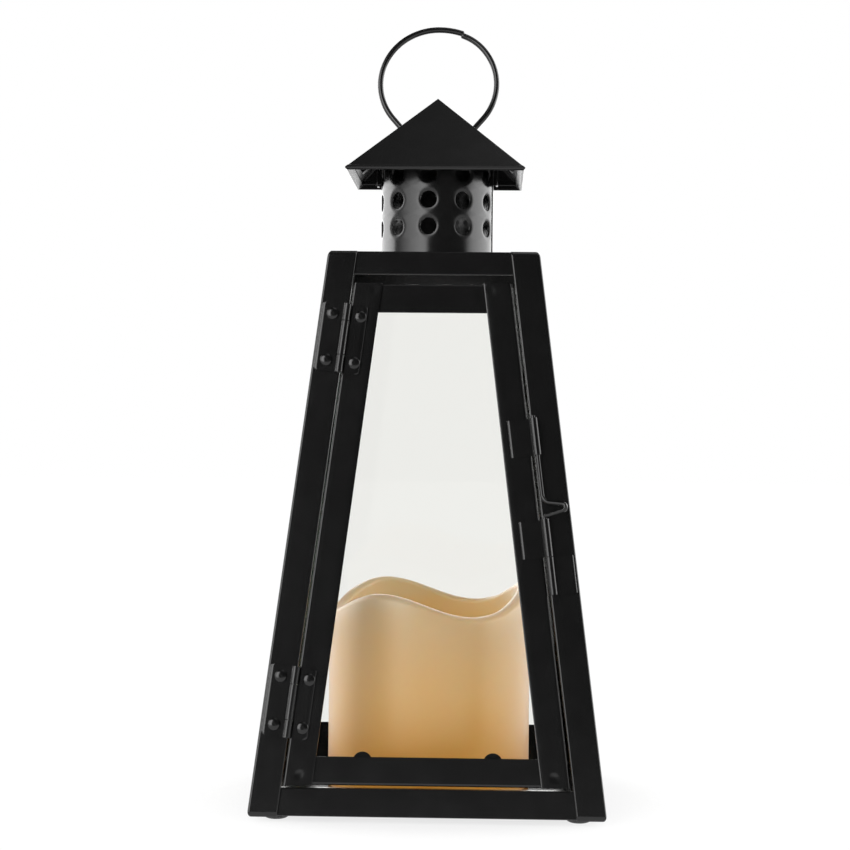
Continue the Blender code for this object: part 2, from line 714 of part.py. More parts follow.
def build_wax(frame, pivot):
    """Hollow pillar: a wavy open well above, and a room for the battery case below."""
    segments = 48
    bottom = CANDLE_BOTTOM
    well_floor = CANDLE_WELL
    room_top = BASE_TOP + 0.0007
    inner = CANDLE_RADIUS - CANDLE_WALL
    profile = [(0.0036, well_floor), (inner, well_floor), (inner + 0.0006, "inside")]
    profile += [(CANDLE_RADIUS - 0.0028, "rim"), (CANDLE_RADIUS, "outside")]
    profile += [(CANDLE_RADIUS, bottom + 0.001), (CANDLE_RADIUS - 0.001, bottom)]
    profile += [(inner - 0.0005, bottom), (inner - 0.0005, room_top), (0.0036, room_top)]
    drops = {"inside": 0.0022, "rim": 0.0, "outside": 0.0020}
    bm = bmesh.new()
    loops = []
    for radius, level in profile:
        loop = []
        for i in range(segments):
            turn = 2 * math.pi * i / segments
            z = rim_height(turn) - drops[level] if level in drops else level
            loop.append((radius * math.sin(turn), -radius * math.cos(turn), z))
        loops.append(loop)
    rings = add_loops(bm, loops, closed_ends=False)
    for i in range(segments):
        j = (i + 1) % segments
        bm.faces.new((rings[-1][i], rings[-1][j], rings[0][j], rings[0][i]))
    smooth(make_object("candle_wax", bm, frame, "ivory_wax", pivot))


def build_battery_case(frame, pivot):
    low = CANDLE_BOTTOM + GAP
    case = [(0.0, low), (BASE_RADIUS, low), (BASE_RADIUS, BASE_TOP), (0.0, BASE_TOP)]
    base = turned("candle_battery_case", case, 40, frame, "ivory_plastic", pivot)
    bm = bmesh.new()
    add_box(bm, (-0.0262, -0.0135, low - 0.001), (0.0262, 0.0135, low + 0.0018))
    add_cylinder(bm, 0.0032, 0.020, BASE_TOP + 0.001, 12)
    add_box(bm, (-0.0045, SWITCH_PLACE - 0.002, low - 0.001), (0.0045, SWITCH_PLACE + 0.002, low + 0.004))
    cutter = make_object("case_cutter", bm, frame, "ivory_plastic", pivot)
    boolean(base, cutter, "DIFFERENCE")
    bay = bmesh.new()
    add_box(bay, (-0.0236, -0.0118, low + 0.0010), (0.0236, 0.0118, low + 0.0135))
    boolean(base, make_object("bay_cutter", bay, frame, "ivory_plastic", pivot), "DIFFERENCE")

    cover = bmesh.new()
    add_box(cover, (-0.0258, -0.0131, low), (0.0258, 0.0131, low + 0.0014))
    make_object("battery_cover", cover, frame, "ivory_plastic", pivot)

    half = BATTERY_LENGTH / 2
    cell = [(0.0, -half), (0.0046, -half), (BATTERY_RADIUS, -half + 0.0006)]
    cell += [(BATTERY_RADIUS, half - 0.0018), (0.0046, half - 0.0012), (0.0019, half - 0.0010)]
    cell += [(0.0019, half), (0.0, half)]
    for name, side in (("battery_1", 1), ("battery_2", -1)):
        spot = Matrix.Translation((0.0, side * 0.0057, low + 0.0078))
        turn = Matrix.Rotation(side * math.pi / 2, 4, "Y")
        turned(name, cell, 16, frame @ spot @ turn, "battery_metal", pivot)

    lamp = [(0.0, 0.0203), (0.0028, 0.0203), (0.0028, 0.0213), (0.0024, 0.0213), (0.0024, 0.0330)]
    lamp += [(0.0021, 0.0343), (0.0012, 0.0353), (0.0, 0.0356)]
    turned("candle_led", lamp, 16, frame, "lamp_lens", pivot)


def build_switch(pivot):
    bm = bmesh.new()
    add_box(bm, (-0.0012, -0.0016, 0.0), (0.0012, 0.0016, 0.0032))
    make_object("candle_switch", bm, pivot["frame"], "ivory_plastic", pivot)


def main():
    clear_scene()
    build_posts()
    build_rails()
    build_floor_and_top()
    build_panes()
    build_feet()

    door_pivot = make_pivot("door_pivot", hinge_frame(HINGE_HEIGHTS["lower"]))
    build_door(door_pivot)
    for name, height in HINGE_HEIGHTS.items():
        build_hinge(name, height, door_pivot)
    build_rivets(door_pivot)
    build_guides(door_pivot)
    bolt_frame = latch_frame(GUIDE_HEIGHTS["lower"])
    bolt_pivot = make_pivot("bolt_pivot", bolt_frame, door_pivot)
    wire("latch_bolt", bolt_points(), BOLT_RADIUS, bolt_frame, bolt_pivot)

    build_chimney()
    build_roof()
    build_roof_brackets()
    pivot_spot = Matrix.Translation((0, 0, FOOT_HEIGHT + RING_PIVOT))
    ring_pivot = make_pivot("ring_pivot", pivot_spot)
    lean = Matrix.Rotation(-RING_LEAN, 4, "X")
    wire("carry_ring", ring_points(), RING_WIRE_RADIUS, pivot_spot @ lean, ring_pivot)

    candle_frame = Matrix.Translation((CANDLE_X, 0.0, FOOT_HEIGHT))
    candle_pivot = make_pivot("candle_pivot", candle_frame)
    build_wax(candle_frame, candle_pivot)
    build_battery_case(candle_frame, candle_pivot)
    slot = Matrix.Translation((-SWITCH_TRAVEL / 2, SWITCH_PLACE, CANDLE_BOTTOM + GAP))
    build_switch(make_pivot("switch_pivot", candle_frame @ slot, candle_pivot))


main()
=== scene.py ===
import math

import bmesh
import bpy
from mathutils import Matrix, Vector


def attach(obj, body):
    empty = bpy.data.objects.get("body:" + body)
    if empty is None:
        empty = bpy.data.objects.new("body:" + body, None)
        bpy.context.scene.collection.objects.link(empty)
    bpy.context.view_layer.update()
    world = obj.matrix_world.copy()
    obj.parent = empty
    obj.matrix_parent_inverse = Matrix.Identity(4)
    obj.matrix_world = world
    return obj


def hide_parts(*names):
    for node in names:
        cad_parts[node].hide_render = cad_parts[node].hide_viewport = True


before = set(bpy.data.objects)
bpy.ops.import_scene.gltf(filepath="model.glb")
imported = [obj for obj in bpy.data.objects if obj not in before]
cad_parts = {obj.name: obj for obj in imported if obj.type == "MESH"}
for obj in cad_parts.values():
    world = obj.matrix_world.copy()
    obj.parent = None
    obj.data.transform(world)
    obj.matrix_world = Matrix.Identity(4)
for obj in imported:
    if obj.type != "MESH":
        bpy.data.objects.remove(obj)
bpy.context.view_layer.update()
print("frame loaded:", len(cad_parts), "nodes")

# Sizes shared by the whole lantern. Heights called z start at the underside of the metal frame.
body = {
    "baseHalf": 0.0625, "topHalf": 0.038, "height": 0.199, "foot": 0.0018,
    "sheet": 0.0009, "thinSheet": 0.0008, "gap": 0.0003, "glass": 0.0018, "leg": 0.0105,
}
taper = math.atan2(body["baseHalf"] - body["topHalf"], body["height"])
edgeLean = math.atan(math.sin(taper))


def halfWidth(z):
    return body["baseHalf"] - z * math.tan(taper)


def faceFrame():  # at the foot of the front, leaned so that its X-Z plane is the face; Y inward
    foot = Matrix.Translation((0.0, -body["baseHalf"], body["foot"]))
    return foot @ Matrix.Rotation(-taper, 4, "X")


def upFace(z):
    return z / math.cos(taper)


def edgeFrame(z, fromCorner, hand):  # on a line beside a front corner, Z along that line
    across = hand * (halfWidth(z) - fromCorner)
    lean = Matrix.Rotation(-hand * edgeLean, 4, "Y")
    outward = body["gap"] + barrel["radius"]
    return faceFrame() @ Matrix.Translation((across, -outward, upFace(z))) @ lean


barrel = {"radius": 0.0015, "bore": 0.0010}   # rolled knuckles and bolt guides


def arc(centre, radius, start, end, steps):
    points = []
    for i in range(steps + 1):
        turn = start + (end - start) * i / steps
        points.append((centre[0] + radius * math.cos(turn), centre[1] + radius * math.sin(turn)))
    return points


def addLoops(bm, loops, capped=True, closed=False):  # skin over vertex loops of equal length
    rings = [[bm.verts.new(point) for point in loop] for loop in loops]
    count = len(rings[0])
    pairs = list(zip(rings, rings[1:]))
    if closed:
        pairs.append((rings[-1], rings[0]))
    for lower, upper in pairs:
        for i in range(count):
            j = (i + 1) % count
            bm.faces.new((lower[i], lower[j], upper[j], upper[i]))
    if capped and not closed:
        bm.faces.new(list(reversed(rings[0])))
        bm.faces.new(rings[-1])
    return rings


def addStrip(bm, rows, place, keep=None):
    # sheet metal: each row is a list of (outside, inside) point pairs; keep() drops cells
    rowCount, cellCount = len(rows) - 1, len(rows[0]) - 1
    made = {}

    def corner(row, col, side):
        key = (row, col, side)
        if key not in made:
            made[key] = bm.verts.new(place @ Vector(rows[row][col][side]))
        return made[key]

    def present(row, col):
        inside = 0 <= row < rowCount and 0 <= col < cellCount
        return inside and (keep is None or keep(row, col))

    def face(*keys):
        bm.faces.new([corner(*key) for key in keys])

    for row in range(rowCount):
        for col in range(cellCount):
            if not present(row, col):
                continue
            for side in (0, 1):
                face((row, col, side), (row, col + 1, side), (row + 1, col + 1, side),
                     (row + 1, col, side))
            for beyond, edge in ((row - 1, row), (row + 1, row + 1)):
                if not present(beyond, col):
                    face((edge, col, 0), (edge, col + 1, 0), (edge, col + 1, 1), (edge, col, 1))
            for beyond, edge in ((col - 1, col), (col + 1, col + 1)):
                if not present(row, beyond):
                    face((row, edge, 0), (row + 1, edge, 0), (row + 1, edge, 1), (row, edge, 1))


def addSweep(bm, points, radius, sides, capRings=3):  # round wire with domed ends
    points = [Vector(point) for point in points]
    tangents = []
    for i, point in enumerate(points):
        before, after = points[max(i - 1, 0)], points[min(i + 1, len(points) - 1)]
        tangents.append((after - before).normalized())
    side = tangents[0].orthogonal().normalized()
    loops = []
    spots = [(points[i], tangents[i], 1.0) for i in range(len(points))]
    head, tail = [], []
    for i in range(1, capRings + 1):
        turn = i / (capRings + 0.6) * math.pi / 2
        reach, scale = 0.6 * radius * math.sin(turn), math.cos(turn)
        head.insert(0, (points[0] - tangents[0] * reach, tangents[0], scale))
        tail.append((points[-1] + tangents[-1] * reach, tangents[-1], scale))
    for point, tangent, scale in head + spots + tail:
        side = (side - tangent * side.dot(tangent)).normalized()
        up = tangent.cross(side)
        loop = []
        for i in range(sides):
            turn = 2 * math.pi * i / sides
            loop.append(point + (side * math.cos(turn) + up * math.sin(turn)) * radius * scale)
        loops.append(loop)
    addLoops(bm, loops)


def addLathe(bm, profile, segments, place=Matrix.Identity(4)):  # (radius, z) from axis to axis
    loops = []
    for radius, z in profile[1:-1]:
        loop = []
        for i in range(segments):
            turn = 2 * math.pi * i / segments
            loop.append(place @ Vector((radius * math.cos(turn), radius * math.sin(turn), z)))
        loops.append(loop)
    rings = addLoops(bm, loops, capped=False)
    for ring, (_, z) in ((rings[0], profile[0]), (rings[-1], profile[-1])):
        tip = bm.verts.new(place @ Vector((0.0, 0.0, z)))
        for i in range(segments):
            bm.faces.new((ring[i], ring[(i + 1) % segments], tip))


def roundPoints(points, radius, steps):  # rounds the corners of an open (r, z) profile
    result = [points[0]]
    for before, here, after in zip(points, points[1:], points[2:]):
        here, back, ahead = Vector(here), Vector(before), Vector(after)
        cut = min(radius, 0.45 * (back - here).length, 0.45 * (ahead - here).length)
        start = here + (back - here).normalized() * cut
        end = here + (ahead - here).normalized() * cut
        for i in range(steps + 1):
            share = i / steps
            result.append(tuple(start.lerp(here, share).lerp(here.lerp(end, share), share)))
    return result + [points[-1]]


def soften(bm, width, angle=30.0, segments=2):  # small radius on every edge sharper than angle
    edges = []
    for edge in bm.edges:
        if len(edge.link_faces) == 2 and edge.calc_face_angle(0.0) > math.radians(angle):
            edges.append(edge)
    bmesh.ops.bevel(bm, geom=edges, offset=width, segments=segments, profile=0.5,
                    affect="EDGES", clamp_overlap=True)


def cadMesh(node):  # a merged copy of a CAD node's mesh, with its flat faces whole again
    bm = bmesh.new()
    bm.from_mesh(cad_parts[node].data)
    bmesh.ops.remove_doubles(bm, verts=bm.verts, dist=0.000002)
    bmesh.ops.dissolve_limit(bm, angle_limit=math.radians(0.6), verts=bm.verts, edges=bm.edges)
    return bm


def bakeModifiers(piece):  # the evaluated shape becomes the mesh, and the modifiers go
    graph = bpy.context.evaluated_depsgraph_get()
    shaped = bpy.data.meshes.new_from_object(piece.evaluated_get(graph))
    shaped.name = piece.name
    piece.modifiers.clear()
    piece.data = shaped
    return piece


def linkObject(name, data):
    thing = bpy.data.objects.new(name, data)
    bpy.context.scene.collection.objects.link(thing)
    return thing


def bareObject(name, bm):  # the mesh being built becomes a linked object, with outward faces
    bmesh.ops.recalc_face_normals(bm, faces=bm.faces)
    mesh = bpy.data.meshes.new(name)
    bm.to_mesh(mesh)
    bm.free()
    return linkObject(name, mesh)


def makePiece(name, bm, material, sharp=40.0, weighted=True):
    piece = bareObject(name, bm)
    for entry in material if isinstance(material, tuple) else (material,):
        piece.data.materials.append(entry)
    piece.data.shade_smooth()
    piece.data.set_sharp_from_angle(angle=math.radians(sharp))
    if weighted:
        modifier = piece.modifiers.new("even shading", "WEIGHTED_NORMAL")
        modifier.keep_sharp = True
        bakeModifiers(piece)
    return piece


def fitPiece(piece, rider, slotName, *nodes):
    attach(piece, rider)
    if nodes:
        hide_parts(*nodes)
    return piece


def tone(hexText):  # sRGB hex to linear colour
    values = []
    for i in (0, 2, 4):
        value = int(hexText[i:i + 2], 16) / 255
        values.append(value / 12.92 if value <= 0.04045 else ((value + 0.055) / 1.055) ** 2.4)
    return (*values, 1.0)


def addNode(tree, kind, settings=None, links=None):
    node = tree.nodes.new(kind)
    for key, value in (settings or {}).items():
        setattr(node, key, value)
    for key, value in (links or {}).items():
        if isinstance(value, bpy.types.NodeSocket):
            tree.links.new(value, node.inputs[key])
        else:
            node.inputs[key].default_value = value
    return node


def mathsFor(tree):  # a short way to add maths nodes to one tree
    def maths(operation, *values):
        return addNode(tree, "ShaderNodeMath", {"operation": operation},
                       dict(enumerate(values))).outputs["Value"]
    return maths


def vectorMaths(tree, operation, *values):
    return addNode(tree, "ShaderNodeVectorMath", {"operation": operation},
                   dict(enumerate(values))).outputs


def startMaterial(name, values):
    material = bpy.data.materials.new(name)
    material.use_nodes = True
    tree = material.node_tree
    shader = tree.nodes["Principled BSDF"]
    for key, value in values.items():
        shader.inputs[key].default_value = value
    place = addNode(tree, "ShaderNodeTexCoord").outputs["Object"]
    return material, tree, shader, place


def addRamp(tree, factor, stops):  # stops: (position, colour) pairs
    ramp = addNode(tree, "ShaderNodeValToRGB", links={"Fac": factor})
    elements = ramp.color_ramp.elements
    while len(elements) < len(stops):
        elements.new(0.5)
    for element, (position, colour) in zip(elements, stops):
        element.position = position
        element.color = colour
    return ramp.outputs["Color"]


def grain(tree, place, millimetres, detail=2.0, roughness=0.5):
    noise = addNode(tree, "ShaderNodeTexNoise", links={
        "Vector": place, "Scale": 1000.0 / millimetres, "Detail": detail, "Roughness": roughness})
    return noise.outputs["Fac"]


def addRange(tree, value, low, high, outLow, outHigh):
    return addNode(tree, "ShaderNodeMapRange", {"clamp": True}, {
        "Value": value, "From Min": low, "From Max": high,
        "To Min": outLow, "To Max": outHigh}).outputs["Result"]


def addBump(tree, height, strength, distance, under=None):
    links = {"Height": height, "Strength": strength, "Distance": distance}
    if under:
        links["Normal"] = under
    return addNode(tree, "ShaderNodeBump", links=links).outputs["Normal"]


def feed(tree, shader, links):  # plugs node outputs into the shader's sockets
    for socket, output in links.items():
        tree.links.new(output, shader.inputs[socket])


def sprayedEnamel():
    # Black alkyd enamel sprayed on sheet steel: a deep semi-gloss black whose skin is slightly
    # pebbled, so that lamp reflections have soft, faintly wavering edges.
    material, tree, shader, place = startMaterial("sprayed_black_enamel", {"IOR": 1.5})
    cloud = grain(tree, place, 26.0, 3.0)
    tint = addRamp(tree, cloud, [(0.3, tone("080808")), (0.7, tone("0A0A0A"))])
    patches = grain(tree, place, 9.0, 3.0, 0.6)
    peel = addBump(tree, grain(tree, place, 1.7, 1.0), 0.4, 0.00002)
    feed(tree, shader, {
        "Base Color": tint, "Roughness": addRange(tree, patches, 0.25, 0.75, 0.18, 0.23),
        "Normal": addBump(tree, grain(tree, place, 0.5, 2.0, 0.7), 0.2, 0.00001, peel)})
    return material


def floatGlass():
    # Clear float glass: see-through with a faint grey-green cast, sharp weak reflections, and
    # barely visible wipe marks. Flat panes don't bend the view, so light passes straight on.
    material, tree, shader, place = startMaterial("clear_float_glass", {
        "Base Color": tone("9C9E9C"), "Metallic": 1.0, "Roughness": 0.02})
    smears = grain(tree, place, 31.0, 4.0, 0.65)
    tree.links.new(addRange(tree, smears, 0.4, 0.8, 0.015, 0.07), shader.inputs["Roughness"])
    clear = addNode(tree, "ShaderNodeBsdfTransparent", links={"Color": tone("FEFEFD")})
    slant = addNode(tree, "ShaderNodeLayerWeight", links={"Blend": 0.5}).outputs["Facing"]
    maths = mathsFor(tree)
    bounce = maths("MULTIPLY_ADD", maths("POWER", slant, 5.0), 0.96, 0.04)   # same on both faces
    blend = addNode(tree, "ShaderNodeMixShader", links={
        0: bounce, 1: clear.outputs["BSDF"], 2: shader.outputs["BSDF"]})
    tree.links.new(blend.outputs["Shader"], tree.nodes["Material Output"].inputs["Surface"])
    return material


def groundGlassEdge():
    # Cut and seamed edge of float glass: frosted, with the green of looking along the sheet.
    material, tree, shader, place = startMaterial("ground_glass_edge", {
        "Roughness": 0.55, "IOR": 1.5})
    chips = grain(tree, place, 0.6, 3.0, 0.7)
    tint = addRamp(tree, chips, [(0.35, tone("5E766C")), (0.7, tone("93A89E"))])
    feed(tree, shader, {"Base Color": tint, "Normal": addBump(tree, chips, 0.4, 0.00005)})
    return material


def mouldedRubber():
    # Compression-moulded black rubber: matt, with a fine dusty texture.
    material, tree, shader, place = startMaterial("moulded_black_rubber", {"Roughness": 0.6})
    dust = grain(tree, place, 1.1, 3.0, 0.6)
    tint = addRamp(tree, dust, [(0.3, tone("161616")), (0.75, tone("242424"))])
    feed(tree, shader, {
        "Base Color": tint, "Roughness": addRange(tree, dust, 0.3, 0.7, 0.42, 0.62),
        "Normal": addBump(tree, grain(tree, place, 0.3, 2.0), 0.3, 0.00003)})
    return material


wax = {
    "x": -0.0013, "radius": 0.0375, "lip": 0.0048, "bottom": 0.0026, "rim": 0.0728, "well": 0.031,
    "roomTop": 0.0267, "roomInset": 0.0053, "ledHole": 0.0036, "lipRise": 0.0022,
    "footRound": 0.0012, "ripple": 0.0012,
    "waves": 3.0, "waveHeight": 0.0044, "waveTurn": 27.0, "tiltHeight": 0.0017, "tiltTurn": 155.0,
}


def pouredWax():
    # Paraffin wax poured over the lamp: satin and milky. Its colour holds painted light: a painted
    # amber glow (emission, though the wax is no lamp) for the lamp's light coming through, painted
    # shade in a deeper, darker amber towards the foot, lighter at the thin rim, and a painted sheen at
    # grazing edges.
    material, tree, shader, place = startMaterial("poured_ivory_wax", {
        "Roughness": 0.36, "IOR": 1.44, "Subsurface Weight": 0.4,
        "Subsurface Radius": (1.0, 0.54, 0.28), "Subsurface Scale": 0.005,
        "Emission Strength": 1.0})
    parts = addNode(tree, "ShaderNodeSeparateXYZ", links={"Vector": place})
    height = addRange(tree, parts.outputs["Z"], body["foot"] + wax["bottom"],
                      body["foot"] + wax["rim"], 0.0, 1.0)
    clouds = grain(tree, place, 19.0, 3.0)
    maths = mathsFor(tree)
    # painted shade: the ramp over height turns deeper, darker amber towards the foot, where the frame
    # blocks the light, and lighter at the thin rim; the cloud noise mottles it
    mottledFootShade = maths("SUBTRACT", maths("MULTIPLY_ADD", clouds, 0.16, height), 0.08)
    tint = addRamp(tree, mottledFootShade, [
        (0.0, tone("D49B43")), (0.25, tone("D8A963")), (0.5, tone("D6B47E")),
        (0.8, tone("CCB289")), (0.95, tone("C9B694")), (1.0, tone("C7BDA3"))])
    # painted sheen: the colour turns greyish-light towards grazing edges, in place of the white light
    # they reflect
    slant = addNode(tree, "ShaderNodeLayerWeight", links={"Blend": 0.4}).outputs["Facing"]
    paintedEdgeSheen = addNode(tree, "ShaderNodeMix", {"data_type": "RGBA"}, {
        "Factor": addRange(tree, slant, 0.2, 0.9, 0.0, 0.85), "A": tint, "B": tone("B7AEA9")})
    # painted glow: emission over the whole wax stands in for the lamp's light coming through it, its
    # colour set by the distance from the inner wall
    centred = vectorMaths(tree, "SUBTRACT", place, (wax["x"], 0.0, 0.0))["Vector"]
    flat = vectorMaths(tree, "MULTIPLY", centred, (1.0, 1.0, 0.0))["Vector"]
    distance = vectorMaths(tree, "LENGTH", flat)["Value"]
    inside = addRange(tree, distance, wax["radius"] - wax["lip"] + 0.0004,
                      wax["radius"] - 0.0012, 1.0, 0.0)
    paintedGlow = addRamp(tree, inside, [(0.0, tone("724C1A")), (0.5, tone("644618")),
                                  (1.0, tone("745A1E"))])
    # painted glow made brighter towards the foot
    lower = addRange(tree, height, 0.0, 1.0, 1.3, 0.7)
    lit = addNode(tree, "ShaderNodeMix", {"data_type": "RGBA", "blend_type": "MULTIPLY"}, {
        "Factor": 1.0, "A": paintedGlow, "B": lower})
    ripples = addBump(tree, grain(tree, place, 11.0, 2.0), 0.5, 0.0003)
    feed(tree, shader, {
        "Base Color": paintedEdgeSheen.outputs["Result"], "Emission Color": lit.outputs["Result"],
        "Roughness": addRange(tree, clouds, 0.3, 0.7, 0.3, 0.42),
        "Normal": addBump(tree, grain(tree, place, 0.8, 3.0, 0.6), 0.25, 0.00003, ripples)})
    return material


def mouldedIvory():
    # Injection-moulded ivory ABS: an even warm white with a fine spark-eroded texture.
    material, tree, shader, place = startMaterial("moulded_ivory_plastic", {"IOR": 1.53})
    cloud = grain(tree, place, 14.0, 2.0)
    tint = addRamp(tree, cloud, [(0.3, tone("D9CFB8")), (0.7, tone("E0D7C2"))])
    feed(tree, shader, {
        "Base Color": tint, "Roughness": addRange(tree, cloud, 0.3, 0.7, 0.4, 0.5),
        "Normal": addBump(tree, grain(tree, place, 0.4, 2.0), 0.35, 0.00002)})
    return material


def cellMetal():
    # Deep-drawn, nickel-plated steel of a dry cell: a bare grey metal with fine drawing streaks
    # along the can that break up its highlights.
    material, tree, shader, place = startMaterial("plated_cell_steel", {"Metallic": 1.0})
    stretched = addNode(tree, "ShaderNodeMapping", links={
        "Vector": place, "Scale": (0.08, 1.0, 1.0)})
    streaks = grain(tree, stretched.outputs["Vector"], 0.5, 3.0)
    tint = addRamp(tree, streaks, [(0.3, tone("A9ABAE")), (0.7, tone("C9CBCC"))])
    feed(tree, shader, {
        "Base Color": tint, "Roughness": addRange(tree, streaks, 0.3, 0.7, 0.2, 0.36)})
    return material


def castEpoxy():
    # Cast amber epoxy of a lamp: clear and glossy, lit from within.
    material, tree, shader, place = startMaterial("cast_amber_epoxy", {
        "Roughness": 0.08, "IOR": 1.54, "Transmission Weight": 0.6, "Emission Strength": 3.0})
    parts = addNode(tree, "ShaderNodeSeparateXYZ", links={"Vector": place})
    up = addRange(tree, parts.outputs["Z"], 0.022, 0.0374, 0.0, 1.0)
    tint = addRamp(tree, up, [(0.0, tone("E8A93C")), (1.0, tone("FFE2A0"))])
    light = addRamp(tree, up, [(0.0, tone("5A3208")), (0.7, tone("FFC766")), (1.0, tone("FFF0C8"))])
    feed(tree, shader, {"Base Color": tint, "Emission Color": light})
    return material


enamel = sprayedEnamel()
pane = floatGlass()
paneEdge = groundGlassEdge()
rubber = mouldedRubber()
waxFinish = pouredWax()
ivory = mouldedIvory()
cell = cellMetal()
epoxy = castEpoxy()
print("materials made:", len(bpy.data.materials))


post = {
    "corner": 0.0008, "inside": 0.0003, "edge": (0.0007, 0.0004), "soft": 0.00012,
    "flat": 0.004, "endRadius": 0.0026, "endDrop": 0.0009,      # the ends are hammered round
}


def rolledEdge(width, depth, steps=5):  # (distance from the edge, how far the outside drops)
    rows = []
    for i in range(steps + 1):
        turn = math.pi / 2 * i / steps
        rows.append((width * (1 - math.cos(turn)), depth * (1 - math.sin(turn))))
    return rows


def postSection():  # (outside, inside) pairs round the L, outer corner at the origin
    wall = body["sheet"] / math.cos(taper)
    leg, outer, flat = body["leg"], post["corner"], post["flat"]
    inner = wall + post["inside"]
    pairs = []
    for along, inset in rolledEdge(*post["edge"]):
        pairs.append(((inset, leg - along), (wall, leg - along)))
    pairs.append(((0.0, flat), (wall, flat)))
    for outside, inside in zip(arc((outer, outer), outer, math.pi, 1.5 * math.pi, 6),
                               arc((inner, inner), post["inside"], math.pi, 1.5 * math.pi, 6)):
        pairs.append((outside, inside))
    pairs.append(((flat, 0.0), (flat, wall)))
    for along, inset in reversed(rolledEdge(*post["edge"])):
        pairs.append(((leg - along, inset), (leg - along, wall)))
    return pairs


def buildPosts():
    names = ("post_front_left", "post_front_right", "post_back_right", "post_back_left")
    top, radius, most = body["height"], post["endRadius"], post["endDrop"]
    cut = radius - math.sqrt(radius * radius - (radius - most) ** 2)
    marks = [(radius - cut) * share for share in (0.0, 0.06, 0.14, 0.26, 0.42, 0.65, 1.0)]
    heights = marks + [top - mark for mark in reversed(marks)]
    for index, name in enumerate(names):
        rows = []
        for z in heights:
            left = max(0.0, radius - cut - min(z, top - z))
            drop = radius - math.sqrt(radius * radius - left * left)
            row = []
            for pair in postSection():
                moved = []
                for (x, y), share in zip(pair, (1.0, 0.5)):
                    x += drop * share * max(0.0, 1 - x / body["leg"])
                    y += drop * share * max(0.0, 1 - y / body["leg"])
                    moved.append((x - halfWidth(z), y - halfWidth(z), z))
                row.append(moved)
            rows.append(row)
        bm = bmesh.new()
        place = Matrix.Rotation(index * math.pi / 2, 4, "Z")
        addStrip(bm, rows, place @ Matrix.Translation((0.0, 0.0, body["foot"])))
        soften(bm, post["soft"], 50.0)
        fitPiece(makePiece(name + "_folded", bm, enamel), "frame", "painted_steel", name)


pressed = {"rail": (("bottom_rail", 0.00035), ("top_rail", 0.0004)), "plate": 0.0003,
           "bracket": 0.0002}      # the radius on each kind's edges


def buildPressed():
    pieces = [(kind + "_" + side, radius) for kind, radius in pressed["rail"]
              for side in ("front", "right", "back", "left")]
    pieces += [("floor_tray", pressed["plate"]), ("top_plate", pressed["plate"]),
               ("roof_bracket_left", pressed["bracket"]),
               ("roof_bracket_right", pressed["bracket"])]
    for node, radius in pieces:
        bm = cadMesh(node)
        soften(bm, radius, 35.0, 3)
        fitPiece(makePiece(node + "_pressed", bm, enamel), "frame", "painted_steel", node)


glassEdge = {"soft": 0.0002, "largestArea": 0.002}    # no cut edge of a pane is larger


def buildPanes():
    for node, rider in (("glass_right", "frame"), ("glass_back", "frame"),
                        ("glass_left", "frame"), ("door_glass", "door")):
        bm = cadMesh(node)
        for face in bm.faces:
            face.material_index = 0 if face.calc_area() > glassEdge["largestArea"] else 1
        soften(bm, glassEdge["soft"], 35.0, 1)
        piece = makePiece(node + "_pane", bm, (pane, paneEdge))
        fitPiece(piece, rider, "clear_glass", node)


bumper = {
    "fromCentre": 0.053, "soft": 0.0005,
    "dome": ((0.0, 0.0), (0.0026, 0.0), (0.0037, 0.00035), (0.0045, 0.0010)), "radius": 0.0047,
}


def buildFeet():
    rise, reach = body["foot"], bumper["fromCentre"]
    corners = [*bumper["dome"], (bumper["radius"], rise), (0.0, rise)]
    profile = roundPoints(corners, bumper["soft"], 3)
    for name, x, y in (("foot_front_left", -1, -1), ("foot_front_right", 1, -1),
                       ("foot_back_right", 1, 1), ("foot_back_left", -1, 1)):
        bm = bmesh.new()
        addLathe(bm, profile, 40, Matrix.Translation((x * reach, y * reach, 0.0)))
        fitPiece(makePiece(name + "_bumper", bm, rubber), "frame", "black_rubber", name)


buildPosts()
buildPressed()
buildPanes()
buildFeet()
print("frame pieces made")


door = {
    "bottom": 0.0111, "top": 0.1874, "windowBottom": 0.021, "windowTop": 0.177,
    "hingeGap": 0.0007, "latchGap": 0.0010, "stile": 0.010, "soft": 0.00012,
    "outerEdge": {-1: (0.0006, 0.0005), 1: (0.0013, 0.0007)}, "innerEdge": (0.0022, 0.00018),
    "weldRadius": 0.0010, "weldDepth": 0.00013, "weldTop": (0.0023, 0.0025),
    "weldBottom": (0.0050, 0.0036),      # each weld: from the inner edge, from the end
    "tabPlace": 0.0228, "tabRadius": 0.0034, "tabReach": {1: 0.0018, -1: 0.0012},
    "railGap": 0.0001, "railLip": 0.002, "bendInside": 0.0002, "railShort": 0.001,
}


def doorEdge(z, hand):  # across to the door's edge at height z up the face
    gap = door["hingeGap"] if hand < 0 else door["latchGap"]
    return body["baseHalf"] - z * math.sin(taper) - body["leg"] - gap


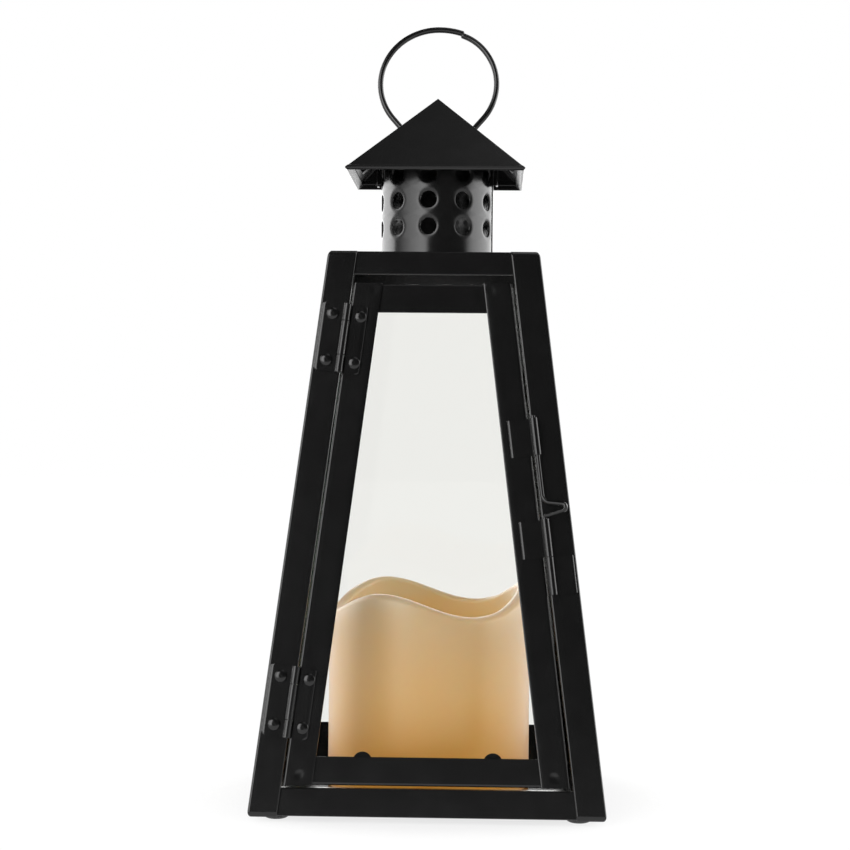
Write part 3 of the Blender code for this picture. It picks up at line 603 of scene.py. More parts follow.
def buildStiles():
    low, high = upFace(door["bottom"]), upFace(door["top"])
    welds = [(door["weldTop"][0], high - door["weldTop"][1]),
             (door["weldBottom"][0], low + door["weldBottom"][1])]
    reach = 2.2 * door["weldRadius"]
    levels = {low, high}
    for _, z in welds:
        levels |= {min(max(z + reach * i / 10, low), high) for i in range(-10, 11)}
    inner = rolledEdge(*door["innerEdge"])
    for name, hand in (("door_stile_left", -1), ("door_stile_right", 1)):
        outer = rolledEdge(*door["outerEdge"][hand])
        start, end = door["innerEdge"][0], door["stile"] - door["outerEdge"][hand][0]
        across = inner + [(start + (end - start) * i / 20, 0.0) for i in range(1, 20)]
        across += [(door["stile"] - along, inset) for along, inset in reversed(outer)]
        rows = []
        for z in sorted(levels):
            row = []
            for along, inset in across:     # along is measured from the inner edge
                dent = 0.0
                for fromEdge, weldZ in welds:
                    span = math.hypot(along - fromEdge, z - weldZ) / reach
                    dent += door["weldDepth"] * max(0.0, 1 - span * span) ** 2
                x = hand * (doorEdge(z, hand) - door["stile"] + along)
                row.append(((x, inset + dent, z), (x, body["sheet"], z)))
            rows.append(row)
        bm = bmesh.new()
        addStrip(bm, rows, faceFrame())
        soften(bm, door["soft"], 50.0)
        fitPiece(makePiece(name + "_rolled", bm, enamel), "door", "painted_steel", name)


def buildDoorRails():
    low, high = upFace(door["bottom"]) + door["railGap"], upFace(door["top"]) - door["railGap"]
    thick = body["thinSheet"]
    front = body["sheet"] + body["gap"]
    tabFront = front + thick + 2 * body["gap"] + body["glass"]
    core, lip = door["bendInside"], door["railLip"]
    bend = thick + core
    for name, outer, inner, up in (
            ("door_rail_bottom", low, upFace(door["windowBottom"]), 1),
            ("door_rail_top", high, upFace(door["windowTop"]), -1)):
        section = [((front, inner), (front + thick, inner)),
                   ((front, inner - up * lip), (front + thick, inner - up * lip))]
        centre = (front + bend, outer + up * bend)
        outside = arc(centre, bend, math.pi, math.pi + up * math.pi / 2, 5)
        inside = arc(centre, core, math.pi, math.pi + up * math.pi / 2, 5)
        section += list(zip(outside, inside))
        end = tabFront + 0.6 * thick
        section.append(((end, outer), (end, outer + up * thick)))
        rows = []
        for step in range(-12, 13):
            share = step / 12
            row = []
            for pair in section:
                row.append([(share * (doorEdge(z, 1 if share > 0 else -1) - door["railShort"]), y, z)
                            for y, z in pair])
            rows.append(row)
        bm = bmesh.new()
        addStrip(bm, rows, faceFrame())
        soften(bm, 0.0002, 50.0)
        reach = inner + door["tabReach"][up]
        for centreX in (-door["tabPlace"], door["tabPlace"]):
            radius = door["tabRadius"]
            outline = arc((centreX, reach - up * radius), radius, 0.0, up * math.pi, 20)
            foot = outer + 0.4 * up * thick
            outline += [(centreX - radius, foot), (centreX + radius, foot)]
            tab = bmesh.new()
            addLoops(tab, [[(x, depth, z) for x, z in outline]
                           for depth in (tabFront, tabFront + thick)])
            soften(tab, 0.00018, 50.0)
            tab.transform(faceFrame())
            mesh = bpy.data.meshes.new("tab")
            tab.to_mesh(mesh)
            tab.free()
            bm.from_mesh(mesh)
            bpy.data.meshes.remove(mesh)
        fitPiece(makePiece(name + "_folded", bm, enamel), "door", "painted_steel", name)


buildStiles()
buildDoorRails()
print("door pieces made")


hinge = {
    "length": 0.0248, "heights": {"upper": 0.1672, "lower": 0.0395}, "fromCorner": 0.01015,
    "doorReach": 0.0072, "clear": 0.0018, "inset": 0.0010, "soft": 0.00014,
    "postEdge": (0.0013, 0.0006), "doorEdge": (0.0018, 0.0004),
    "rivetAcross": 0.0050, "rivetAlong": 0.0084, "cornerCut": 0.0012,
    "pinEnd": ((0.0, 0.0003), (0.00055, 0.0002), (0.00075, -0.0001)),   # radius, past the leaves
}
latch = {
    "fromCorner": 0.0094, "guideLength": 0.0132, "guides": {"upper": 0.1328, "lower": 0.0973},
    "catch": 0.0840, "guideEdge": (0.0011, 0.0006), "catchEdge": (0.0012, 0.0006),
    "boltFoot": 0.0797, "shoulder": 0.1049, "knee": 0.1125, "boltHead": 0.1400,
    "boltRadius": 0.0008, "loopReach": 0.0098, "loopTurn": 35.0, "tip": 0.00115, "tipRise": 0.0020,
    "corner": 0.0008, "bend": 0.0034,
}


def leafPairs(reach, edge):
    # section of a strap for +X: rolled outer edge, plate, then the curl round the pin
    thick = body["thinSheet"]
    front, back = barrel["radius"] - thick, barrel["radius"]
    pairs = [((reach - along, front + drop), (reach - along, back))
             for along, drop in rolledEdge(*edge)]
    plate = len(pairs)
    pairs.append(((hinge["clear"], front), (hinge["clear"], back)))
    steps = 30
    lap = math.asin(front / barrel["bore"])
    for i in range(steps + 1):
        share = i / steps
        outer = math.pi / 2 + (math.radians(382) - math.pi / 2) * share
        inner = lap + (math.radians(382) - lap) * share
        pairs.append(((barrel["bore"] * math.cos(inner), barrel["bore"] * math.sin(inner)),
                      (barrel["radius"] * math.cos(outer), barrel["radius"] * math.sin(outer))))
    return pairs, plate


def buildLeaf(node, rider, place, hand, reach, half, knuckles, edge, cut=0.0):
    # one strap along the Z axis of its place, curled only along its knuckles' spans
    pairs, plate = leafPairs(reach, edge)
    marks = sorted({-half, half, *[z for knuckle in knuckles for z in knuckle]})
    if cut:
        marks = sorted({*marks, *[side * (half - cut * share) for side in (-1, 1)
                                  for share in (0.08, 0.3, 0.6, 1.0)]})
    rows = []
    for z in marks:
        row = []
        short = max(0.0, 1 - (half - abs(z)) / cut) if cut else 0.0
        inset = cut * (1 - math.sqrt(max(0.0, 1 - short * short)))    # rounded free corners
        for index, pair in enumerate(pairs):
            pull = inset * (1 - index / plate) if index < plate else 0.0
            row.append([(hand * (x - pull), y, z) for x, y in pair])
        rows.append(row)

    def keep(row, col):
        if col < plate:
            return True
        middle = (marks[row] + marks[row + 1]) / 2
        return any(low < middle < high for low, high in knuckles)

    bm = bmesh.new()
    addStrip(bm, rows, place, keep)
    soften(bm, hinge["soft"], 40.0)
    fitPiece(makePiece(node + "_rolled", bm, enamel), rider, "painted_steel", node)


def buildHinges():
    half, middle = hinge["length"] / 2, hinge["length"] / 4
    slit = 0.5 * body["gap"]
    postReach = hinge["fromCorner"] - hinge["inset"]
    ends = [(radius, -half - past) for radius, past in hinge["pinEnd"]]
    for name, z in hinge["heights"].items():
        place = edgeFrame(z, hinge["fromCorner"], -1)
        buildLeaf("hinge_" + name + "_post_leaf", "frame", place, -1, postReach, half,
                  [(-half, -middle - slit), (middle + slit, half)], hinge["postEdge"],
                  hinge["cornerCut"])
        buildLeaf("hinge_" + name + "_door_leaf", "door", place, 1, hinge["doorReach"], half,
                  [(-middle + slit, middle - slit)], hinge["doorEdge"], hinge["cornerCut"])
        bm = bmesh.new()
        addLathe(bm, ends + [(radius, -end) for radius, end in reversed(ends)], 24, place)
        node = "hinge_" + name + "_pin"
        fitPiece(makePiece(node + "_drawn", bm, enamel), "frame", "painted_steel", node)


def buildLatch():
    half, inset = latch["guideLength"] / 2, latch["fromCorner"]
    for name, z in latch["guides"].items():
        buildLeaf("latch_guide_" + name, "door", edgeFrame(z, inset, 1), -1, inset, half,
                  [(-half, half)], latch["guideEdge"])
    buildLeaf("latch_catch", "frame", edgeFrame(latch["catch"], inset, 1), 1,
              inset - hinge["inset"], half, [(-half, half)], latch["catchEdge"])
    buildBolt()


def buildBolt():
    slant = upFace(1.0) / math.cos(edgeLean)       # length along the bolt for each unit of height
    lower, radius = latch["guides"]["lower"], latch["boltRadius"]
    foot, shoulder, knee, head = ((latch[key] - lower) * slant for key in (
        "boltFoot", "shoulder", "knee", "boltHead"))
    tip, bend, corner = latch["tip"], latch["bend"], latch["corner"]
    tipCentre = (latch["loopReach"] - radius - tip, shoulder + latch["tipRise"])
    route = [(0.0, foot), (0.0, shoulder - corner)]
    route += arc((corner, shoulder - corner), corner, math.pi, 0.6 * math.pi, 8)[1:]
    route += arc(tipCentre, tip, -0.45 * math.pi, 0.45 * math.pi, 20)
    route += arc((bend, knee), bend, 1.42 * math.pi, math.pi, 16)
    route.append((0.0, head))
    turn = math.radians(latch["loopTurn"])
    place = edgeFrame(lower, latch["fromCorner"], 1)
    points = [place @ Vector((x * math.cos(turn), -x * math.sin(turn), z)) for x, z in route]
    bm = bmesh.new()
    addSweep(bm, points, radius, 20)
    fitPiece(makePiece("latch_bolt_bent", bm, enamel), "bolt", "painted_steel", "latch_bolt")


buildHinges()
buildLatch()
print("hinges and latch made")


rivet = {"head": 0.0022, "rise": 0.00082, "shank": 0.0009, "tail": 0.0015}


def rivetTemplate():  # one snap-head rivet, its axis along Z and the strap's face at z = 0
    grip = body["thinSheet"] + body["gap"] + body["sheet"]
    gap = body["gap"]
    steps = 9
    dome = [(0.0, rivet["rise"])]
    for i in range(1, steps + 1):
        turn = math.pi / 2 * i / steps
        dome.append((rivet["head"] * math.sin(turn), rivet["rise"] * math.cos(turn) ** 0.8 + 0.00008))
    dome.append((rivet["head"] - 0.00004, 0.00002))
    shank = [(rivet["shank"], 0.00001), (rivet["shank"], -grip - gap)]
    tail = [(rivet["tail"], -grip - gap - 0.00002), (rivet["tail"], -grip - gap - 0.0002),
            (0.0011, -grip - 2 * gap - 0.0002), (0.0, -grip - 2 * gap - 0.0002)]
    bm = bmesh.new()
    addLathe(bm, dome + shank + tail, 32)
    return makePiece("rivet_template", bm, enamel, 50.0)


def startTree(name, sockets):  # a geometry node tree with named inputs, and those inputs
    tree = bpy.data.node_groups.new(name, "GeometryNodeTree")
    for label, kind in (("Geometry", "Geometry"), *sockets):
        tree.interface.new_socket(label, in_out="INPUT", socket_type="NodeSocket" + kind)
    tree.interface.new_socket("Geometry", in_out="OUTPUT", socket_type="NodeSocketGeometry")
    return tree, addNode(tree, "NodeGroupInput").outputs


def endTree(tree, shape, material):
    painted = addNode(tree, "GeometryNodeSetMaterial", links={
        "Geometry": shape, "Material": material})
    addNode(tree, "NodeGroupOutput", links={"Geometry": painted.outputs["Geometry"]})
    return tree


def addReal(tree, instances):
    return addNode(tree, "GeometryNodeRealizeInstances", links={
        "Geometry": instances}).outputs["Geometry"]


def rivetTree():
    tree, given = startTree("setRivets", (
        ("Rivet", "Object"), ("Tilt", "Float"), ("Enamel", "Material")))
    one = addNode(tree, "GeometryNodeObjectInfo", links={"Object": given["Rivet"]})
    lean = addNode(tree, "ShaderNodeCombineXYZ", links={"X": given["Tilt"]})
    spots = addNode(tree, "GeometryNodeMeshToPoints", links={"Mesh": given["Geometry"]})
    placed = addNode(tree, "GeometryNodeInstanceOnPoints", links={
        "Points": spots.outputs["Points"], "Instance": one.outputs["Geometry"],
        "Rotation": lean.outputs["Vector"]})
    return endTree(tree, addReal(tree, placed.outputs["Instances"]), given["Enamel"])


def applyTree(piece, tree, values):  # runs a node tree on a piece and keeps the plain mesh
    modifier = piece.modifiers.new(tree.name, "NODES")
    modifier.node_group = tree
    for item in tree.interface.items_tree:
        if item.in_out == "INPUT" and item.name in values:
            modifier[item.identifier] = values[item.name]
    return bakeModifiers(piece)


def buildRivets():
    template = rivetTemplate()
    tree = rivetTree()
    front = barrel["radius"] - body["thinSheet"]
    for leaf, hand, rider in (("post", -1, "frame"), ("door", 1, "door")):
        bm = bmesh.new()
        nodes = []
        for name, z in hinge["heights"].items():
            for level, up in (("top", 1), ("bottom", -1)):
                spot = Vector((hand * hinge["rivetAcross"], front, up * hinge["rivetAlong"]))
                bm.verts.new(edgeFrame(z, hinge["fromCorner"], -1) @ spot)
                nodes.append("rivet_" + leaf + "_" + name + "_" + level)
        piece = applyTree(bareObject("rivets_" + leaf, bm), tree, {
            "Rivet": template, "Tilt": math.pi / 2 - taper, "Enamel": enamel})
        fitPiece(piece, rider, "painted_steel", *nodes)
    bpy.data.objects.remove(template)


buildRivets()
print("rivets set")


chimney = {
    "radius": 0.021, "sheet": 0.0006, "bottom": 0.1991, "top": 0.2387,
    "rows": (0.2098, 0.2196, 0.2294), "pitch": 0.0098, "columns": 10, "start": -7.3,
    "hole": 0.0031, "dishDepth": 0.00022, "dishReach": 0.0016, "dishBack": 0.0012,
    "edge": 0.00014,        # the punch draws each hole's edge inwards
    "seamTurn": 82.7, "seamWidth": 0.0026, "seamRise": 0.00028, "seamShort": 0.0003,
}


def tileRing(count, half, high):  # points round a rectangle, count per side
    points = []
    for (x0, z0), (x1, z1) in (((-1, -1), (1, -1)), ((1, -1), (1, 1)),
                               ((1, 1), (-1, 1)), ((-1, 1), (-1, -1))):
        for i in range(count):
            share = i / count
            points.append(((x0 + (x1 - x0) * share) * half, (z0 + (z1 - z0) * share) * high))
    return points


def holeProfile():  # (radius or None for the tile's border, height out of the sheet's face)
    sheet, hole, edge = chimney["sheet"], chimney["hole"], chimney["edge"]
    profile = [(None, 0.0)]
    for share in (1.0, 0.6, 0.3, 0.1):
        dip = chimney["dishDepth"] * (1 - share) ** 2
        profile.append((hole + edge + chimney["dishReach"] * share, -dip))
    dip = chimney["dishDepth"]
    turns = [math.pi / 2 * i / 3 for i in range(4)]
    profile += [(hole + edge * (1 - math.sin(turn)), -dip - edge * (1 - math.cos(turn)))
                for turn in turns]
    profile += [(hole + edge * (1 - math.cos(turn)), -dip - sheet + edge * (1 - math.sin(turn)))
                for turn in turns]
    return profile + [(hole + chimney["dishBack"], -sheet - 0.3 * dip), (None, -sheet)]


def chimneyColumn():
    # one column of the sheet laid flat: X along it, Y outwards (negative is inside), Z up
    half = math.pi * chimney["radius"] / chimney["columns"]
    perSide, sheet = 12, chimney["sheet"]
    bm = bmesh.new()
    for height in chimney["rows"]:
        border = tileRing(perSide, half, chimney["pitch"] / 2)
        rings = []
        for radius, out in holeProfile():
            ring = []
            for x, z in border:
                if radius is not None:
                    turn = math.atan2(z, x)
                    x, z = radius * math.cos(turn), radius * math.sin(turn)
                ring.append((x, out, height + z))
            rings.append(ring)
        addLoops(bm, rings, capped=False)
    low = chimney["rows"][0] - chimney["pitch"] / 2
    high = chimney["rows"][-1] + chimney["pitch"] / 2
    for start, end in ((chimney["bottom"], low), (high, chimney["top"])):
        rows = 4
        for out in (0.0, -sheet):
            grid = []
            for row in range(rows + 1):
                z = start + (end - start) * row / rows
                grid.append([bm.verts.new((-half + 2 * half * i / perSide, out, z))
                             for i in range(perSide + 1)])
            for lower, upper in zip(grid, grid[1:]):
                for i in range(perSide):
                    bm.faces.new((lower[i], lower[i + 1], upper[i + 1], upper[i]))
    for z in (chimney["bottom"], chimney["top"]):    # the sheet's cut edges
        for i in range(perSide):
            x0, x1 = -half + 2 * half * i / perSide, -half + 2 * half * (i + 1) / perSide
            bm.faces.new([bm.verts.new(point) for point in (
                (x0, 0.0, z), (x1, 0.0, z), (x1, -sheet, z), (x0, -sheet, z))])
    bmesh.ops.remove_doubles(bm, verts=bm.verts, dist=0.00001)
    return bareObject("chimney_pierced", bm)


def sleeveTree():
    # lays copies of one flat column side by side and rolls them round the Z axis
    tree, given = startTree("bendSleeve", (
        ("Columns", "Int"), ("Radius", "Float"), ("Start", "Float"), ("Enamel", "Material")))
    maths = mathsFor(tree)
    width = maths("DIVIDE", maths("MULTIPLY", given["Radius"], 2 * math.pi), given["Columns"])
    step = addNode(tree, "ShaderNodeCombineXYZ", links={"X": width})
    line = addNode(tree, "GeometryNodeMeshLine", {"mode": "OFFSET"}, {
        "Count": given["Columns"], "Offset": step.outputs["Vector"]})
    many = addNode(tree, "GeometryNodeInstanceOnPoints", links={
        "Points": line.outputs["Mesh"], "Instance": given["Geometry"]})
    real = addReal(tree, many.outputs["Instances"])
    parts = addNode(tree, "ShaderNodeSeparateXYZ", links={
        "Vector": addNode(tree, "GeometryNodeInputPosition").outputs["Position"]}).outputs
    turn = maths("ADD", maths("DIVIDE", parts["X"], given["Radius"]), given["Start"])
    reach = maths("ADD", given["Radius"], parts["Y"])
    bent = addNode(tree, "ShaderNodeCombineXYZ", links={
        "X": maths("MULTIPLY", reach, maths("SINE", turn)),
        "Y": maths("MULTIPLY", maths("MULTIPLY", reach, maths("COSINE", turn)), -1.0),
        "Z": parts["Z"]})
    rolled = addNode(tree, "GeometryNodeSetPosition", links={
        "Geometry": real, "Position": bent.outputs["Vector"]})
    joined = addNode(tree, "GeometryNodeMergeByDistance", links={
        "Geometry": rolled.outputs["Geometry"], "Distance": 0.00003})
    return endTree(tree, joined.outputs["Geometry"], given["Enamel"])


def buildChimney():
    piece = applyTree(chimneyColumn(), sleeveTree(), {
        "Columns": chimney["columns"], "Radius": chimney["radius"],
        "Start": math.radians(chimney["start"]), "Enamel": enamel})
    bm = bmesh.new()
    bm.from_mesh(piece.data)
    bmesh.ops.remove_doubles(bm, verts=bm.verts, dist=0.00002)
    bpy.data.objects.remove(piece)
    rows = []
    rise, turn = chimney["seamRise"], math.radians(chimney["seamTurn"])
    radius = chimney["radius"]
    halfTurn = chimney["seamWidth"] / radius / 2
    shares = [(-1.0, 0.0), (-0.9, 0.75), (-0.8, 1.0), (0.0, 1.0), (0.8, 1.0), (0.9, 0.75), (1.0, 0.0)]
    short = chimney["seamShort"]
    for z in (chimney["bottom"] + short, chimney["top"] - short):
        row = []
        for share, lift in shares:
            angle = turn + share * halfTurn
            pair = []
            for out in (radius + rise * lift, radius - short):
                pair.append((out * math.sin(angle), -out * math.cos(angle), z))
            row.append(pair)
        rows.append(row)
    addStrip(bm, rows, Matrix.Identity(4))
    bm.transform(Matrix.Translation((0.0, 0.0, body["foot"])))
    piece = makePiece("chimney_pierced", bm, enamel, 35.0)
    fitPiece(piece, "frame", "painted_steel", "chimney")


buildChimney()
print("chimney made")


roof = {
    "half": 0.03265, "eave": 0.2296, "apex": 0.2596, "sheet": 0.0007, "hem": 0.0017,
    "hemRise": 0.00014, "hemReturn": 0.0030, "hip": 0.00045,
}
ring = {
    "radius": 0.0219, "wire": 0.0011, "pivot": 0.2482, "centre": 0.018, "lean": 13.0,
    "joint": 24.0, "jointGap": 0.014,     # where its ends meet, and the gap there in radians
    "step": 0.0007, "hole": 0.0018, "leave": 0.0040, "bend": 0.0008,
}


def buildRoof():
    slope = math.atan2(roof["apex"] - roof["eave"], roof["half"])
    down = Vector((math.cos(slope), -math.sin(slope)))
    out = Vector((math.sin(slope), math.cos(slope)))
    tip = Vector((roof["half"], roof["eave"]))
    sheet = roof["sheet"]
    drop = sheet / math.cos(slope)

    def spot(back, rise):  # back up the slope from the eave, and out of the sheet's top face
        return tuple(tip - down * back + out * rise)

    hem, rise = roof["hem"], roof["hemRise"]
    loops = [spot(hem + 0.0002, 0.0), spot(hem, 0.00003), spot(hem - 0.0003, rise)]
    loops += [spot(0.0005, rise), spot(0.0002, 0.6 * rise), spot(0.0, -0.35 * sheet),
              spot(0.0, -1.2 * sheet), spot(0.0002, -1.8 * sheet), spot(0.0006, -2.0 * sheet)]
    loops += [spot(roof["hemReturn"] - 0.0003, -2.0 * sheet),
              spot(roof["hemReturn"], -1.7 * sheet), spot(roof["hemReturn"], -sheet)]
    bm = bmesh.new()
    corners = ((-1, -1), (1, -1), (1, 1), (-1, 1))
    rings = addLoops(bm, [[(x * half, y * half, z) for x, y in corners] for half, z in loops],
                     capped=False)
    for ringVerts, z in ((rings[0], roof["apex"]), (rings[-1], roof["apex"] - drop)):
        peak = bm.verts.new((0.0, 0.0, z))
        for i in range(4):
            bm.faces.new((ringVerts[i], ringVerts[(i + 1) % 4], peak))
    bmesh.ops.recalc_face_normals(bm, faces=bm.faces)
    hips = []
    for edge in bm.edges:
        ends = [vert.co for vert in edge.verts]
        if all(abs(abs(co.x) - abs(co.y)) < 1e-7 for co in ends):
            hips.append(edge)
    bmesh.ops.bevel(bm, geom=hips, offset=roof["hip"], segments=4, profile=0.5,
                    affect="EDGES", clamp_overlap=True)
    bm.transform(Matrix.Translation((0.0, 0.0, body["foot"])))
    piece = makePiece("roof_cap_folded", bm, enamel, 30.0, weighted=False)
    cutter = bmesh.new()
    across = Matrix.Translation((0.0, 0.0, body["foot"] + ring["pivot"]))
    across = across @ Matrix.Rotation(math.pi / 2, 4, "Y")
    hole = ring["hole"]
    addLathe(cutter, [(0.0, -0.02), (hole, -0.02), (hole, 0.02), (0.0, 0.02)], 32, across)
    tool = makePiece("ring_hole_tool", cutter, enamel)
    modifier = piece.modifiers.new("ring holes", "BOOLEAN")
    modifier.operation = "DIFFERENCE"
    modifier.solver = "EXACT"
    modifier.object = tool
    even = piece.modifiers.new("even shading", "WEIGHTED_NORMAL")
    even.keep_sharp = True
    bakeModifiers(piece)
    bpy.data.objects.remove(tool)
    fitPiece(piece, "frame", "painted_steel", "roof_cap")


def buildRing():
    radius, centre = ring["radius"], ring["centre"]
    joint = math.radians(90.0 - ring["joint"])
    leave = math.asin((ring["leave"] - centre) / radius)
    apart = ring["jointGap"] / 2
    right = arc((0.0, centre), radius, joint - apart, leave, 60)
    left = arc((0.0, centre), radius, math.pi - leave, joint + apart, 84)
    for side, sign in ((right, 1.0), (left, -1.0)):   # the two ends stand a little out of line
        count = 14
        spots = range(count) if sign > 0 else range(len(side) - count, len(side))
        for i in spots:
            near = 1 - (i / count if sign > 0 else (len(side) - 1 - i) / count)
            push = 1 - sign * 0.5 * ring["step"] / radius * near * near
            x, z = side[i]
            side[i] = (x * push, centre + (z - centre) * push)
    corner = right[-1][0] - right[-1][1] / math.tan(leave + math.pi / 2)
    bend, slope = ring["bend"], math.pi / 2 + leave
    knees = [(corner + bend * math.cos(slope), bend * math.sin(slope))]
    knees += [(corner + 0.3 * bend * math.cos(slope), 0.00025), (corner - 0.4 * bend, 0.00003),
              (corner - bend, 0.0)]
    knees += [(corner - bend - 0.003, 0.0), (0.0, 0.0)]
    middle = knees + [(-x, z) for x, z in reversed(knees[:-1])]
    place = Matrix.Translation((0.0, 0.0, body["foot"] + ring["pivot"]))
    place = place @ Matrix.Rotation(-math.radians(ring["lean"]), 4, "X")
    bm = bmesh.new()
    addSweep(bm, [place @ Vector((x, 0.0, z)) for x, z in right + middle + left], ring["wire"], 24)
    fitPiece(makePiece("carry_ring_bent", bm, enamel), "ring", "painted_steel", "carry_ring")


buildRoof()
buildRing()
print("roof and ring made")


def waxTree():
    # lifts the rim in soft waves round the candle, with a slight tilt towards the back
    names = ("Waves", "Wave height", "Wave turn", "Tilt height", "Tilt turn", "Ripple")
    tree, given = startTree("waveRim", (*((name, "Float") for name in names), ("Wax", "Material")))
    maths = mathsFor(tree)
    place = addNode(tree, "GeometryNodeInputPosition").outputs["Position"]
    parts = addNode(tree, "ShaderNodeSeparateXYZ", links={"Vector": place}).outputs
    turn = maths("ARCTAN2", parts["X"], maths("MULTIPLY", parts["Y"], -1.0))
    wave = maths("MULTIPLY", given["Wave height"], maths(
        "COSINE", maths("MULTIPLY", maths("ADD", turn, given["Wave turn"]), given["Waves"])))
    tilt = maths("MULTIPLY", given["Tilt height"], maths(
        "COSINE", maths("SUBTRACT", turn, given["Tilt turn"])))
    noise = addNode(tree, "ShaderNodeTexNoise", links={
        "Vector": place, "Scale": 70.0, "Detail": 1.0}).outputs["Fac"]
    ripple = maths("MULTIPLY", given["Ripple"], maths("SUBTRACT", noise, 0.5))
    rise = addNode(tree, "GeometryNodeInputNamedAttribute", {"data_type": "FLOAT"}, {
        "Name": "rise"}).outputs[0]
    lift = maths("MULTIPLY", maths("ADD", maths("ADD", wave, tilt), ripple), rise)
    shift = addNode(tree, "ShaderNodeCombineXYZ", links={"Z": lift})
    moved = addNode(tree, "GeometryNodeSetPosition", links={
        "Geometry": given["Geometry"], "Offset": shift.outputs["Vector"]})
    return endTree(tree, addReal(tree, moved.outputs["Geometry"]), given["Wax"])


def buildWax():
    # profile points are (radius, z, share of the rim's wave that they follow)
    outer, rim = wax["radius"], wax["rim"]
    inner = outer - wax["lip"]
    bottom, room = wax["bottom"], outer - wax["roomInset"]
    half, high, foot = wax["lip"] / 2, wax["lipRise"], wax["footRound"]
    profile = [(room, bottom, 0), (outer - foot, bottom, 0), (outer - 0.0005, bottom + 0.0002, 0),
               (outer - 0.0001, bottom + 0.0006, 0), (outer, bottom + foot, 0)]
    for i in range(1, 12):
        share = i / 12
        profile.append((outer, bottom + foot + (rim - high - bottom - foot) * share, share ** 3))
    for i in range(13):
        turn = math.pi * i / 12
        lean = 0.0004 * math.sin(turn)
        profile.append((outer - half + half * math.cos(turn) - lean,
                        rim - high + high * math.sin(turn), 1))
    for i in range(1, 10):
        share = i / 10
        profile.append((inner - 0.0003 * share, rim - high - (rim - high - wax["well"] - 0.002) * share,
                        (1 - share) ** 2))
    profile += [(inner - 0.0004, wax["well"] + 0.0014, 0), (inner - 0.0009, wax["well"] + 0.0005, 0),
                (inner - 0.002, wax["well"], 0), (0.016, wax["well"] - 0.0001, 0),
                (0.006, wax["well"] + 0.0001, 0), (wax["ledHole"] + 0.0004, wax["well"] - 0.0001, 0),
                (wax["ledHole"], wax["well"] - 0.0006, 0), (wax["ledHole"], wax["roomTop"], 0),
                (room, wax["roomTop"], 0)]
    segments = 160
    bm = bmesh.new()
    rise = bm.verts.layers.float.new("rise")
    loops, weights = [], []
    for radius, z, share in profile:
        loop = []
        for i in range(segments):
            turn = 2 * math.pi * i / segments
            loop.append((radius * math.sin(turn), -radius * math.cos(turn), z))
        loops.append(loop)
        weights.append(share)
    rings = addLoops(bm, loops, closed=True)
    for ringVerts, share in zip(rings, weights):
        for vert in ringVerts:
            vert[rise] = share
    piece = bareObject("candle_wax_poured", bm)
    piece.data.shade_smooth()
    piece.data.set_sharp_from_angle(angle=math.radians(50))
    applyTree(piece, waxTree(), {
        "Waves": wax["waves"], "Wave height": wax["waveHeight"],
        "Wave turn": math.radians(wax["waveTurn"]), "Tilt height": wax["tiltHeight"],
        "Tilt turn": math.radians(wax["tiltTurn"]), "Ripple": wax["ripple"],
        "Wax": waxFinish})
    piece.data.transform(Matrix.Translation((wax["x"], 0.0, body["foot"])))
    fitPiece(piece, "candle", "ivory_wax", "candle_wax")


led = {"radius": 0.0024, "flange": 0.0028, "foot": 0.0203, "flangeTop": 0.0213,
       "domeFoot": 0.0330, "domeRise": 0.0026}


def buildInsides():
    for node, radius, material, rider, slotName in (
            ("candle_battery_case", 0.0003, ivory, "candle", "ivory_plastic"),
            ("battery_cover", 0.0002, ivory, "candle", "ivory_plastic"),
            ("candle_switch", 0.0003, ivory, "switch", "ivory_plastic"),
            ("battery_1", 0.00025, cell, "candle", "battery_metal"),
            ("battery_2", 0.00025, cell, "candle", "battery_metal")):
        bm = cadMesh(node)
        soften(bm, radius, 35.0, 2)
        fitPiece(makePiece(node + "_finished", bm, material), rider, slotName, node)
    radius, dome, rise = led["radius"], led["domeFoot"], led["domeRise"]
    profile = [(0.0, led["foot"]), (led["flange"], led["foot"]), (led["flange"], led["flangeTop"]),
               (radius, led["flangeTop"] + 0.0002), (radius, dome)]
    for step in range(1, 8):
        turn = math.pi / 2 * step / 8
        profile.append((radius * math.cos(turn), dome + rise * math.sin(turn)))
    profile.append((0.0, dome + rise))
    bm = bmesh.new()
    addLathe(bm, roundPoints(profile, 0.0002, 2), 32,
             Matrix.Translation((wax["x"], 0.0, body["foot"])))
    fitPiece(makePiece("candle_led_cast", bm, epoxy), "candle", "lamp_lens", "candle_led")


buildWax()
buildInsides()
print("candle made")


studio = {
    # brightness round the object, by turn from the front in degrees (positive is to the right)
    "around": ((-180, 2.6), (-155, 2.8), (-135, 3.4), (-110, 5.0), (-97, 4.6), (-93, 0.3),
               (-85, 0.3), (-72, 1.4), (-50, 3.2), (-30, 4.6), (-20, 4.6), (-16, 0.03),
               (62, 0.03), (68, 2.0), (80, 3.8), (100, 4.2), (125, 3.4), (150, 2.8), (180, 2.6)),
    "lowest": -0.45, "highest": 0.62, "ceiling": 0.06, "over": 0.36, "front": (0.065, 0.04),
    "floorClear": (0.065, 0.105), "floorGlow": 0.75,
    "lamp": {"at": (0.3, -0.2, 1.6), "size": 0.8, "watts": 2.0},
}


